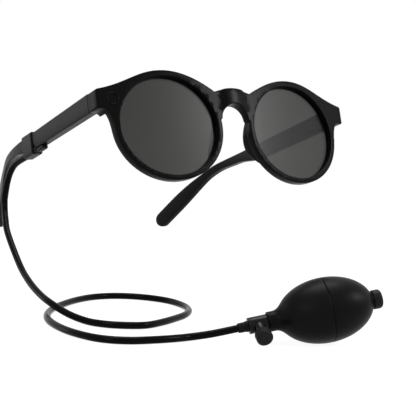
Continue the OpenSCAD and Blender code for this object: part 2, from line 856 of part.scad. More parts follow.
function total(v, i = 0) = i >= len(v) ? 0 : v[i] + total(v, i + 1);
hose_length = total([for (i = [0:len(hose_line) - 2]) norm(hose_line[i + 1] - hose_line[i])]);
apart = 8;
hose_clear = min([for (i = [0:len(hose_line) - 1], j = [0:len(hose_line) - 1])
    if (j > i + apart) norm(hose_line[i] - hose_line[j])]) - hose_d;
echo(hose_length = hose_length, hose_clear = hose_clear, rings = len(hose_line));

// Bulb and valves

module at_bulb() {
    translate(bulb_centre)
        rotate([0, -bulb_slope, -bulb_turn])
            children();
}

module revolve() {
    rotate([0, 90, 0])
        rotate_extrude($fn = 72)
            children();
}

module ring(r, from, to) {
    translate([from, 0, 0])
        rotate([0, 90, 0])
            cylinder(r = r, h = to - from);
}

module sleeve(r, bore, from, to) {
    difference() {
        ring(r, from, to);
        ring(bore, from - cut, to + cut);
    }
}

module hose_sleeve() {
    color(RUBBER_BLACK)
        at_bulb()
            difference() {
                union() {
                    ring(sleeve_r, -neck_at - valve_l - sleeve_l, -neck_at - valve_l - 0.02);
                    ring(sleeve_r + 0.2, -neck_at - valve_l - 1.2, -neck_at - valve_l - 0.02);
                }
                ring(hose_d / 2 + hose_gap, -neck_at - valve_l - sleeve_l - cut, -neck_at - valve_l + cut);
            }
}

chamber_end = neck_at - spigot_l;
seat_from = chamber_end + 0.4;
ball_rest = -(seat_from + seat_l + ball_r + 0.02);
chamber_from = -(seat_from + seat_l + 2 * ball_r + ball_travel + 0.1);
stem_x = -(neck_at + screw_at);

module at_air_screw() {
    at_bulb()
        translate([stem_x, 0, 0])
            rotate([180 - knob_roll, 0, 0])
                children();
}

boss_l = knob_at - 0.3;
stem_seat = 1;

module valve_body() {
    color(GLOSS_BLACK)
        difference() {
            union() {
                at_bulb() {
                    ring(valve_r, -neck_at - valve_l, -neck_at - 0.02);
                    ring(neck_bore_r - 0.02, -neck_at - 0.1, -chamber_end);
                    ring(0.8, -neck_at - valve_l - nipple_l, -neck_at - valve_l + 0.1);
                }
                at_air_screw()
                    cylinder(r = stem_r + 1.2, h = boss_l);
            }
            at_bulb() {
                ring(tail_bore_r, chamber_from, -chamber_end + cut);
                ring(0.5, -neck_at - valve_l - nipple_l - cut, chamber_from + cut);
                translate([chamber_from - 1, -1.2, -0.3])
                    cube([1.2, 2.4, 0.6]);
            }
            at_air_screw() {
                cylinder(r = 0.45, h = 3);
                translate([0, 0, stem_seat])
                    cylinder(r = stem_r + run_gap, h = knob_at);
                translate([0, 0, stem_seat + 0.6])
                    rotate([0, -90, 0])
                        cylinder(r = 0.4, h = 8);
            }
        }
}

module valve_seat() {
    color(STEEL)
        at_bulb()
            sleeve(tail_bore_r - 0.02, seat_hole_r, -seat_from - seat_l, -seat_from);
}

module outlet_ball() {
    color(STEEL)
        at_bulb()
            translate([ball_rest, 0, 0])
                sphere(ball_r);
}

module valve_stem() {
    color(STEEL)
        at_air_screw() {
            translate([0, 0, stem_seat + 0.03])
                cylinder(r = stem_r, h = knob_at + 3 - stem_seat - 0.03);
            translate([0, 0, stem_seat - 0.6])
                cylinder(r1 = 0.2, r2 = 0.4, h = 0.7);
        }
}

module valve_knob() {
    color(GLOSS_BLACK)
        at_air_screw()
            difference() {
                translate([0, 0, knob_at])
                    rotate_extrude($fn = 72)
                        polygon([[0, 0], [knob_r - 0.9, 0], [knob_r - 0.3, 0.5], [knob_r, 1.1],
                            [knob_r, knob_h - 1.2], [knob_r - 0.5, knob_h - 0.4], [knob_r - 1.6, knob_h],
                            [0, knob_h]]);
                for (k = [0:knob_grooves - 1])
                    rotate([0, 0, 360 * k / knob_grooves])
                        translate([knob_r + 0.1, 0, knob_at - cut])
                            cylinder(r = 0.32, h = knob_h - 0.7 + cut, $fn = 16);
                translate([0, 0, knob_at - cut])
                    cylinder(r = stem_r + run_gap, h = 3.06 + cut);
            }
}

bulb_in = bulb_r - bulb_wall;
half_in = bulb_half - bulb_wall;
function belly(a, r, from, to, n) = [for (i = [0:n]) let (t = from + (to - from) * i / n) [r * sin(t), a * cos(t)]];
shoulder = 32;
throat = asin((neck_bore_r + 0.4) / bulb_in);
tail_foot = asin(tail_r / bulb_r);
shoulder_point = [bulb_r * sin(shoulder), -bulb_half * cos(shoulder)];
seam = 0.3;
lap_mid = bulb_r - bulb_wall / 2;

module bulb_front_shell() {
    color(RUBBER_BLACK)
        at_bulb()
            revolve()
                polygon(concat(
                    [[neck_bore_r, -neck_at], [neck_r, -neck_at], [neck_r, -neck_at + 2.4]],
                    bezier([[neck_r + 0.05, -neck_at + 3.4], [neck_r + 0.3, -neck_at + 5.2],
                        shoulder_point - [1.6, 1.5], shoulder_point], 6),
                    belly(bulb_half, bulb_r, 180 - shoulder - 5, 91.5, 14),
                    [[bulb_r - seam, -0.02], [lap_mid, -0.02], [lap_mid, -lap_l]],
                    belly(half_in, bulb_in, 91.5 + lap_l * 2, 180 - throat, 14),
                    [[neck_bore_r, -half_in * cos(throat) - 0.3]]
                ));
}

module bulb_rear_shell() {
    color(RUBBER_BLACK)
        at_bulb()
            revolve()
                polygon(concat(
                    [[bulb_r - seam, 0.02]],
                    belly(bulb_half, bulb_r, 88.5, tail_foot, 18),
                    [[tail_r, tail_at], [neck_bore_r, tail_at], [neck_bore_r, half_in * cos(throat) + 0.3]],
                    belly(half_in, bulb_in, throat, 90, 14),
                    [[bulb_in, -lap_l + 0.2], [lap_mid - 0.03, -lap_l + 0.2], [lap_mid - 0.03, 0.02]]
                ));
}

cap_l = 4.3;
cap_r = tail_r + 0.35;
inlet_from = tail_at - spigot_l;
inlet_seat = tail_at - 1.2;
retainer_t = 0.8;

module inlet_valve_body() {
    color(GLOSS_BLACK)
        at_bulb()
            revolve()
                polygon(concat(
                    [[tail_bore_r, inlet_from], [neck_bore_r - 0.02, inlet_from], [neck_bore_r - 0.02, tail_at + 0.02],
                        [cap_r - 0.4, tail_at + 0.02], [cap_r, tail_at + 0.4], [cap_r, tail_at + cap_l - 1.4]],
                    ellipse_arc([cap_r - 1.4, tail_at + cap_l - 1.4], 1.4, 1.4, 15, 75, 4),
                    [[1.5, tail_at + cap_l + 0.3], [1.5, tail_at + 1.4], [seat_hole_r, tail_at + 1.4],
                        [seat_hole_r, inlet_seat], [tail_bore_r, inlet_seat]]
                ));
}

module inlet_ball() {
    color(STEEL)
        at_bulb()
            translate([inlet_seat - ball_r - 0.02, 0, 0])
                sphere(ball_r);
}

module inlet_retainer() {
    color(SATIN_BLACK)
        at_bulb()
            difference() {
                ring(tail_bore_r - 0.02, inlet_from, inlet_from + retainer_t);
                for (k = [0:2])
                    rotate([120 * k, 0, 0])
                        translate([0, 0, 0.9])
                            ring(0.4, inlet_from - cut, inlet_from + retainer_t + cut);
            }
}

front_frame();
left_lens();
right_lens();
nozzle_bezel();
nozzle_jet();
port_seal();
left_front_leaf();
right_front_leaf();
left_hinge_screw();
right_hinge_screw();
left_temple();
left_temple_leaf();
temple_tube();
channel_cover();
hose_collar();
hose_barb();
right_temple();
right_temple_leaf();
hose();
hose_sleeve();
valve_body();
valve_seat();
outlet_ball();
valve_stem();
valve_knob();
bulb_front_shell();
bulb_rear_shell();
inlet_valve_body();
inlet_ball();
inlet_retainer();
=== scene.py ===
"""Dressed model of sunglasses that squirt water, with their hose, air valve and hand bulb.

Every size is in millimetres in the code and becomes metres when a piece is finished. The frame
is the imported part's own: +X across the front, +Y back along the temples, +Z up.
"""

import logging
import math
from collections.abc import Callable, Iterable, Sequence
from dataclasses import dataclass
from enum import Enum

import bmesh
import bpy
from bmesh.types import BMEdge, BMesh, BMVert
from bpy.types import Material, NodeSocket, Object
from mathutils import Matrix, Vector


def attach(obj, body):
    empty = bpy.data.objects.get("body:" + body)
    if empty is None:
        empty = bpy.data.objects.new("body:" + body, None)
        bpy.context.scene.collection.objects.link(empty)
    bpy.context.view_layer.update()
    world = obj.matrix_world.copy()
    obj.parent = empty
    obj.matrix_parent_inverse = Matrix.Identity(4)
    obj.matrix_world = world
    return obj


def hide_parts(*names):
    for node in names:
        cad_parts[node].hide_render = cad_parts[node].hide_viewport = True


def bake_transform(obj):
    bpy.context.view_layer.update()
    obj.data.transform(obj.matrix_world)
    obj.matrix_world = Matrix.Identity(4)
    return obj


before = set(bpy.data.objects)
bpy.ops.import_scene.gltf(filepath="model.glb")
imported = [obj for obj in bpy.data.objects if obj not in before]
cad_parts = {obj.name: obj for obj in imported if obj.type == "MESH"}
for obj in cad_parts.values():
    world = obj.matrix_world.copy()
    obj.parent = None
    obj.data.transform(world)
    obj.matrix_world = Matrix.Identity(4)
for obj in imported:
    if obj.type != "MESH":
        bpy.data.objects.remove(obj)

LOG = logging.getLogger("squirting_glasses")
MM = 0.001
# Corners this close, in millimetres, become one
WELD = 0.0005
Point2 = tuple[float, float]
Spot = tuple[float, float, float]
Colour = Spot
Profile = Sequence[Sequence[float]]

FRONT_LEAN = math.radians(18)
FLOOR_Z = -92.0
WORN = Matrix.Rotation(-FRONT_LEAN, 4, "X")


class Body(Enum):
    """The rigid bodies that pieces ride on."""

    FRONT = "front"
    LEFT_TEMPLE = "left_temple"
    RIGHT_TEMPLE = "right_temple"
    AIR_KNOB = "air_knob"


class Slot(Enum):
    """Material slots of the pieces."""

    GLOSS = "gloss_black"
    SATIN = "satin_black"
    LENS = "smoke_lens"
    RUBBER = "rubber_black"
    HOSE = "hose_black"
    STEEL = "steel"
    TUBE = "clear_tube"


# Curves


def lerp(a: float, b: float, t: float) -> float:
    """Blend of a and b at t."""
    return a + (b - a) * t


def smooth(t: float) -> float:
    """Smooth step of t, held between 0 and 1."""
    c = min(max(t, 0.0), 1.0)
    return c * c * (3 - 2 * c)


def on_bezier(p: Sequence[Point2], t: float) -> Vector:
    """Point at t, from 0 to 1, of the cubic curve with the control points p."""
    a, b, c, d = (Vector(q) for q in p)
    return a * (1 - t) ** 3 + b * 3 * (1 - t) * (1 - t) * t + c * 3 * (1 - t) * t * t + d * t**3


def bezier(p: Sequence[Point2], steps: int) -> list[Vector]:
    """Points along a cubic curve, both ends included."""
    return [on_bezier(p, i / steps) for i in range(steps + 1)]


def height_at(line: Sequence[Vector], x: float) -> float:
    """Height at x of a curve that runs along X."""
    a, b = next((p, q) for p, q in zip(line, line[1:]) if q.x >= x or q is line[-1])
    return lerp(a.y, b.y, (x - a.x) / (b.x - a.x))


def arc(centre: Point2, a: float, b: float, start: float, stop: float, steps: int) -> list[Vector]:
    """Points along an ellipse of half axes a and b, from one angle in degrees to another."""
    turns = [math.radians(lerp(start, stop, i / steps)) for i in range(steps + 1)]
    return [Vector((centre[0] + a * math.cos(t), centre[1] + b * math.sin(t))) for t in turns]


def rounded_box(half_w: float, half_h: float, r: float, steps: int = 5) -> list[Vector]:
    """Outline of a rectangle with round corners, anticlockwise.

    Args:
        half_w: Half the width.
        half_h: Half the height.
        r: Radius of the corners.
        steps: Steps in each corner.

    Returns:
        The outline's points.
    """
    r = min(r, half_w * 0.98, half_h * 0.98)
    corners = [(1, 1, 0), (-1, 1, 90), (-1, -1, 180), (1, -1, 270)]
    return [
        p
        for x, y, turn in corners
        for p in arc((x * (half_w - r), y * (half_h - r)), r, r, turn, turn + 90, steps)
    ]


def rod(start: float, stop: float, r: float) -> Profile:
    """Profile of a round rod between two places on its axis."""
    return [(start, 0.0), (start, r), (stop, r), (stop, 0.0)]


def key(spot: Vector) -> tuple[float, ...]:
    """A corner's place, rounded so that it can be looked up."""
    return tuple(round(c, 5) for c in spot)


def placed(spot: Sequence[float], turn: float, axis: str) -> Matrix:
    """Matrix that turns about an axis and then moves to a spot."""
    return Matrix.Translation(spot) @ Matrix.Rotation(turn, 4, axis)


# Materials


def grey(level: float) -> Colour:
    """A grey of that level."""
    return (level, level, level)


@dataclass(frozen=True)
class Number:
    """A number socket of a material, used in plain arithmetic."""

    shader: "Shader"
    socket: NodeSocket

    def _maths(self, operation: str, *values: "Number | float") -> "Number":
        """Output of a new Math node with those inputs."""
        node = self.shader.node("ShaderNodeMath", dict(enumerate(values)), operation=operation)
        return Number(self.shader, node.outputs[0])

    def __add__(self, other: "Number | float") -> "Number":
        """Sum."""
        return self._maths("ADD", self, other)

    __radd__ = __add__

    def __sub__(self, other: "Number | float") -> "Number":
        """Difference."""
        return self._maths("SUBTRACT", self, other)

    def __mul__(self, other: "Number | float") -> "Number":
        """Product."""
        return self._maths("MULTIPLY", self, other)

    def clamp(self) -> "Number":
        """The number held between 0 and 1."""
        return self._maths("MAXIMUM", self._maths("MINIMUM", self, 1.0), 0.0)

    def above(self, edge: float, width: float) -> "Number":
        """0 below edge, rising to 1 within width above it."""
        return ((self - edge) * (1 / width)).clamp()


class Shader:
    """A material under construction."""

    def __init__(self, target: str | bpy.types.World) -> None:
        """Starts an empty shader.

        Args:
            target: Name of its new material, or the world that gets it.
        """
        new = isinstance(target, str)
        self.material = bpy.data.materials.new(target) if new else None
        owner = self.material or target
        owner.use_nodes = True
        self.tree = owner.node_tree
        self.tree.nodes.clear()
        self.output = self.node("ShaderNodeOutputMaterial" if new else "ShaderNodeOutputWorld")

    def node(
        self, kind: str, inputs: dict[str | int, object] | None = None, **settings: object
    ) -> bpy.types.Node:
        """Adds a shader node.

        Args:
            kind: The node's type.
            inputs: Values or links of its sockets, by name or number.
            settings: Properties that are set first.

        Returns:
            The node.
        """
        node = self.tree.nodes.new(kind)
        for key, value in settings.items():
            setattr(node, key, value)
        for key, value in (inputs or {}).items():
            if isinstance(value, Number):
                value = value.socket
            if isinstance(value, NodeSocket):
                self.tree.links.new(value, node.inputs[key])
            else:
                node.inputs[key].default_value = value
        return node

    def place(self, scale: Spot = (1.0, 1.0, 1.0)) -> NodeSocket:
        """Object coordinates, scaled."""
        where = self.node("ShaderNodeTexCoord").outputs["Object"]
        return self.node("ShaderNodeMapping", {"Vector": where, "Scale": scale}).outputs[0]

    def noise(self, scale: float, detail: float, stretch: Spot = (1.0, 1.0, 1.0)) -> Number:
        """Noise from 0 to 1, with scale waves per metre before the stretch of each direction."""
        inputs = {"Vector": self.place(stretch), "Scale": scale, "Detail": detail}
        return Number(self, self.node("ShaderNodeTexNoise", inputs).outputs["Fac"])

    def tint(self, factor: Number, dark: Colour, light: Colour) -> NodeSocket:
        """Colour between dark and light."""
        inputs = {0: factor, 6: (*dark, 1.0), 7: (*light, 1.0)}
        return self.node("ShaderNodeMix", inputs, data_type="RGBA").outputs[2]

    def bump(self, height: Number, distance: float, under: object = None) -> NodeSocket:
        """Raises a surface.

        Args:
            height: The relief, from 0 to 1.
            distance: Its full height in metres.
            under: The normal of a coarser relief below it.

        Returns:
            The bumped normal.
        """
        inputs: dict[str | int, object] = {"Height": height, "Distance": distance, "Strength": 1.0}
        if under is not None:
            inputs["Normal"] = under
        return self.node("ShaderNodeBump", inputs).outputs[0]

    def surface(self, **inputs: object) -> Material:
        """Ends the material with one Principled shader.

        Args:
            inputs: Its sockets, with underscores for spaces.

        Returns:
            The finished material.
        """
        named = {key.replace("_", " "): value for key, value in inputs.items()}
        shader = self.node("ShaderNodeBsdfPrincipled", named)
        self.tree.links.new(shader.outputs[0], self.output.inputs[0])
        return self.material


@dataclass(frozen=True)
class Plastic:
    """Moulded black plastic with a faint flow pattern, fine scuffs and shallow waves."""

    name: str
    dark: Colour
    light: Colour
    rough: float
    scuffed: float
    grain: float
    shine: float = 0.045
    grain_scale: float = 2600.0

    def make(self) -> Material:
        """Builds the material.

        Returns:
            The finished material.
        """
        s = Shader(self.name)
        flow = s.noise(55.0, 3.0)
        scuffs = s.noise(900.0, 5.0, (1.0, 0.25, 1.0)).above(0.6, 0.14)
        fine = s.noise(self.grain_scale, 2.0)
        waves = s.noise(38.0, 1.0)
        rough = self.rough + flow * 0.05 + scuffs * self.scuffed
        normal = s.bump(fine, self.grain, s.bump(waves, 0.00006))
        return s.surface(
            Base_Color=s.tint(flow, self.dark, self.light),
            Roughness=rough.clamp(),
            IOR=1.46,
            Specular_IOR_Level=self.shine,
            Normal=normal,
        )


@dataclass(frozen=True)
class Rubber:
    """Satin black rubber with a fine skin, shallow dimples and a faint cloudy bloom."""

    name: str
    dark: Colour
    bloom: Colour
    rough: float
    skin: float = 0.00002

    def make(self) -> Material:
        """Builds the material.

        Returns:
            The finished material.
        """
        s = Shader(self.name)
        cloud = s.noise(70.0, 4.0)
        skin = s.noise(3800.0, 3.0)
        dimples = s.noise(420.0, 2.0)
        normal = s.bump(skin, self.skin, s.bump(dimples, 0.00003))
        return s.surface(
            Base_Color=s.tint(cloud, self.dark, self.bloom),
            Roughness=(self.rough + cloud * 0.08 - dimples * 0.03).clamp(),
            IOR=1.5,
            Specular_IOR_Level=0.06,
            Normal=normal,
        )


@dataclass(frozen=True)
class SmokeLens:
    """Grey-tinted clear plastic that is a little darker at the top."""

    name: str
    deep: Colour
    pale: Colour

    def make(self) -> Material:
        """Builds the material.

        Returns:
            The finished material.
        """
        s = Shader(self.name)
        axes = s.node("ShaderNodeSeparateXYZ", {0: s.place()})
        height = Number(s, axes.outputs[2])
        return s.surface(
            Base_Color=s.tint(height.above(-0.025, 0.05), self.pale, self.deep),
            Roughness=(0.015 + s.noise(60.0, 2.0) * 0.02).clamp(),
            IOR=1.03,
            Transmission_Weight=1.0,
            Coat_Weight=1.0,
            Coat_IOR=1.2,
            Coat_Roughness=0.3,
        )


@dataclass(frozen=True)
class Metal:
    """Drawn or turned metal with fine lines."""

    name: str
    dark: Colour
    light: Colour
    rough: float

    def make(self) -> Material:
        """Builds the material.

        Returns:
            The finished material.
        """
        s = Shader(self.name)
        lines = s.noise(2500.0, 2.0, (1.0, 1.0, 0.08))
        return s.surface(
            Base_Color=s.tint(lines, self.dark, self.light),
            Roughness=(self.rough + lines * 0.12).clamp(),
            Metallic=1.0,
            Normal=s.bump(lines, 0.000012),
        )


@dataclass(frozen=True)
class Tubing:
    """Milky soft tubing."""

    name: str

    def make(self) -> Material:
        """Builds the material.

        Returns:
            The finished material.
        """
        s = Shader(self.name)
        cloud = s.noise(300.0, 2.0)
        return s.surface(
            Base_Color=s.tint(cloud, (0.55, 0.58, 0.6), (0.72, 0.75, 0.77)),
            Roughness=(0.25 + cloud * 0.1).clamp(),
            Transmission_Weight=0.35,
            IOR=1.42,
        )


class Finishes:
    """Every finish of the object, made once."""

    def __init__(self) -> None:
        """Builds all the materials."""
        # Name, dark and light grey, roughness, scuffs, grain in metres, shine
        self.gloss = Plastic("frame_plastic", grey(0.002), grey(0.004), 0.2, 0.1, 6e-6).make()
        self.temple = Plastic("temple_plastic", grey(0.005), grey(0.008), 0.28, 0.12, 1e-5, 0.06).make()
        self.collar = Plastic("collar_plastic", grey(0.006), grey(0.009), 0.34, 0.1, 1e-5, 0.1).make()
        self.valve = Plastic("valve_plastic", grey(0.002), grey(0.004), 0.22, 0.08, 6e-6, 0.15).make()
        self.knob = Plastic("knob_plastic", grey(0.005), grey(0.009), 0.4, 0.1, 1.2e-5, 0.12).make()
        self.hose = Plastic("hose_plastic", grey(0.001), grey(0.002), 0.16, 0.02, 3e-6, 0.05).make()
        self.rubber = Rubber("bulb_rubber", grey(0.002), grey(0.004), 0.36).make()
        self.cuff = Rubber("cuff_rubber", grey(0.004), grey(0.007), 0.45).make()
        self.lens = SmokeLens("smoke_lens", (0.036, 0.036, 0.0343), (0.044, 0.044, 0.0418)).make()
        self.steel = Metal("hinge_steel", (0.42, 0.42, 0.43), (0.62, 0.62, 0.63), 0.22).make()
        self.leaf = Metal("blackened_steel", grey(0.012), grey(0.03), 0.34).make()
        self.tube = Tubing("milky_tube").make()


# Pieces


def stand(name: str, data: bpy.types.ID) -> Object:
    """Puts a new object that shows the data into the scene."""
    bpy.context.scene.collection.objects.link(made := bpy.data.objects.new(name, data))
    return made


class Form:
    """A mesh under construction, in millimetres."""

    def __init__(self) -> None:
        """Starts an empty mesh."""
        self.bm = bmesh.new()

    def loop(self, points: Iterable[Vector]) -> list[BMEdge]:
        """Adds a closed loop of edges through the points and gives the edges."""
        verts = [self.bm.verts.new(p) for p in points]
        return [self.bm.edges.new((a, b)) for a, b in zip(verts, verts[1:] + verts[:1])]

    def loft(self, rings: Sequence[Sequence[Vector]]) -> None:
        """Skins a row of rings with the same number of corners and closes it with flat ends.

        Args:
            rings: The rings, in order.
        """
        loops = [self.loop(r) for r in rings]
        for a, b in zip(loops, loops[1:]):
            bmesh.ops.bridge_loops(self.bm, edges=a + b)
        for end in (loops[0], loops[-1]):
            bmesh.ops.edgeloop_fill(self.bm, edges=end)

    def spin(self, profile: Profile, steps: int = 96) -> "Form":
        """Turns a profile round the X axis.

        Args:
            profile: Places along the axis with their radii; the ends may lie on the axis.
            steps: Steps of the full turn.

        Returns:
            This form.
        """
        verts = [self.bm.verts.new((p[0], p[1], 0.0)) for p in profile]
        edges = [self.bm.edges.new(pair) for pair in zip(verts, verts[1:])]
        bmesh.ops.spin(
            self.bm, geom=verts + edges, cent=(0, 0, 0), axis=(1, 0, 0), dvec=(0, 0, 0),
            angle=math.tau, steps=steps, use_merge=True, use_duplicate=False,
        )
        return self

    def add(self, other: "Form") -> None:
        """Takes in another form.

        Args:
            other: That form, which is used up.
        """
        other.bm.to_mesh(part := bpy.data.meshes.new("part"))
        other.bm.free()
        self.bm.from_mesh(part)
        bpy.data.meshes.remove(part)

    def move(self, by: Matrix) -> "Form":
        """Places the whole mesh and gives it back."""
        bmesh.ops.transform(self.bm, matrix=by, verts=self.bm.verts)
        return self

    def finish(self, name: str, material: Material, place: Matrix, crease: float = 35.0) -> Object:
        """Ends the mesh and makes its object.

        Args:
            name: The object's name.
            material: Its finish.
            place: Its place in the row frame, in millimetres.
            crease: Edges that turn by more degrees stay sharp.

        Returns:
            The object.
        """
        bm = self.bm
        bmesh.ops.remove_doubles(bm, verts=bm.verts, dist=WELD)
        bmesh.ops.dissolve_degenerate(bm, dist=WELD, edges=bm.edges)
        self.move(place)
        bmesh.ops.recalc_face_normals(bm, faces=bm.faces)
        bmesh.ops.scale(bm, vec=(MM, MM, MM), verts=bm.verts)
        limit = math.radians(crease)
        for face in bm.faces:
            face.smooth = True
        for edge in bm.edges:
            edge.smooth = len(edge.link_faces) == 2 and edge.calc_face_angle(0.0) < limit
        mesh = bpy.data.meshes.new(name)
        bm.to_mesh(mesh)
        bm.free()
        mesh.materials.append(material)
        return stand(name, mesh)


def carve(form: Form, cutter: Form) -> None:
    """Cuts one closed mesh out of another.

    Args:
        form: The mesh that is cut.
        cutter: The mesh that is taken away; it is used up.
    """
    bmesh.ops.remove_doubles(cutter.bm, verts=cutter.bm.verts, dist=WELD)
    pair = []
    for name, part in (("carved", form), ("cutter", cutter)):
        bmesh.ops.recalc_face_normals(part.bm, faces=part.bm.faces)
        part.bm.to_mesh(mesh := bpy.data.meshes.new(name))
        pair.append(stand(name, mesh))
    body, tool = pair
    cut = body.modifiers.new("cut", "BOOLEAN")
    cut.operation, cut.solver, cut.object = "DIFFERENCE", "EXACT", tool
    result = bpy.data.meshes.new_from_object(body.evaluated_get(bpy.context.evaluated_depsgraph_get()))
    form.bm.clear()
    form.bm.from_mesh(result)
    cutter.bm.free()
    for mesh in (body.data, tool.data, result):
        bpy.data.meshes.remove(mesh)


def settle(piece: Object, body: Body, slot: Slot, *nodes: str) -> None:
    """Ties a piece to its body and hides the CAD nodes that it stands for.

    Args:
        piece: The finished piece.
        body: The body that it rides on.
        slot: The slot of its finish; not used.
        nodes: The CAD nodes that it replaces.
    """
    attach(piece, body.value)
    if nodes:
        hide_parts(*nodes)
    LOG.info("%s rides on %s, %d faces", piece.name, body.value, len(piece.data.polygons))


@dataclass
class FrontSizes:
    """Sizes of the front that its pieces share."""

    half_width: float = 72.0
    bend_r: float = 500.0
    seat_y: float = 3.0
    rim_t: float = 4.5
    rim_w: float = 2.5
    lens_x: float = 36.2
    lens_z: float = -0.5
    lens_w: float = 51.0
    lens_h: float = 47.2
    bridge_top: float = 19.0
    notch_z: float = 17.1
    notch_reach: float = 2.2
    brow_rise: float = 0.5
    key_top: float = 11.3
    key_r: float = 7.5
    end_top: float = 16.0
    end_bottom: float = 6.7
    end_depth: float = 8.5
    end_t: float = 5.5
    leaf_t: float = 1.2
    notch_r: float = 1.62
    knuckle_foot: float = 7.5
    port_x: float = 69.75
    port_z: float = 9.6
    port_r: float = 0.5
    seal_r: float = 1.56
    seal_deep: float = 0.45

    @property
    def rim(self) -> Point2:
        """Half the width and half the height of a rim."""
        return self.lens_w / 2 + self.rim_w, self.lens_h / 2 + self.rim_w

    @property
    def bend_y(self) -> float:
        """Place of the bend's axis."""
        return self.bend_r - self.seat_y

    @property
    def butt_y(self) -> float:
        """Place of the faces where the temples meet the front."""
        return self.y_at(self.half_width) + self.end_depth

    @property
    def hinge_x(self) -> float:
        """Distance of the hinge axes from the middle."""
        return self.half_width - self.end_t - self.leaf_t

    def y_at(self, x: float, depth: float = 0.0) -> float:
        """Place of the bent front at x, at a depth behind its face."""
        return self.bend_y - math.sqrt((self.bend_r - depth) ** 2 - x * x)

    def hinge(self, side: int) -> Matrix:
        """Matrix from a temple's own frame, mirrored on the left side."""
        spot = Matrix.Translation((side * self.hinge_x, self.butt_y, 0))
        return WORN @ spot @ Matrix.Diagonal((side, 1, 1, 1))


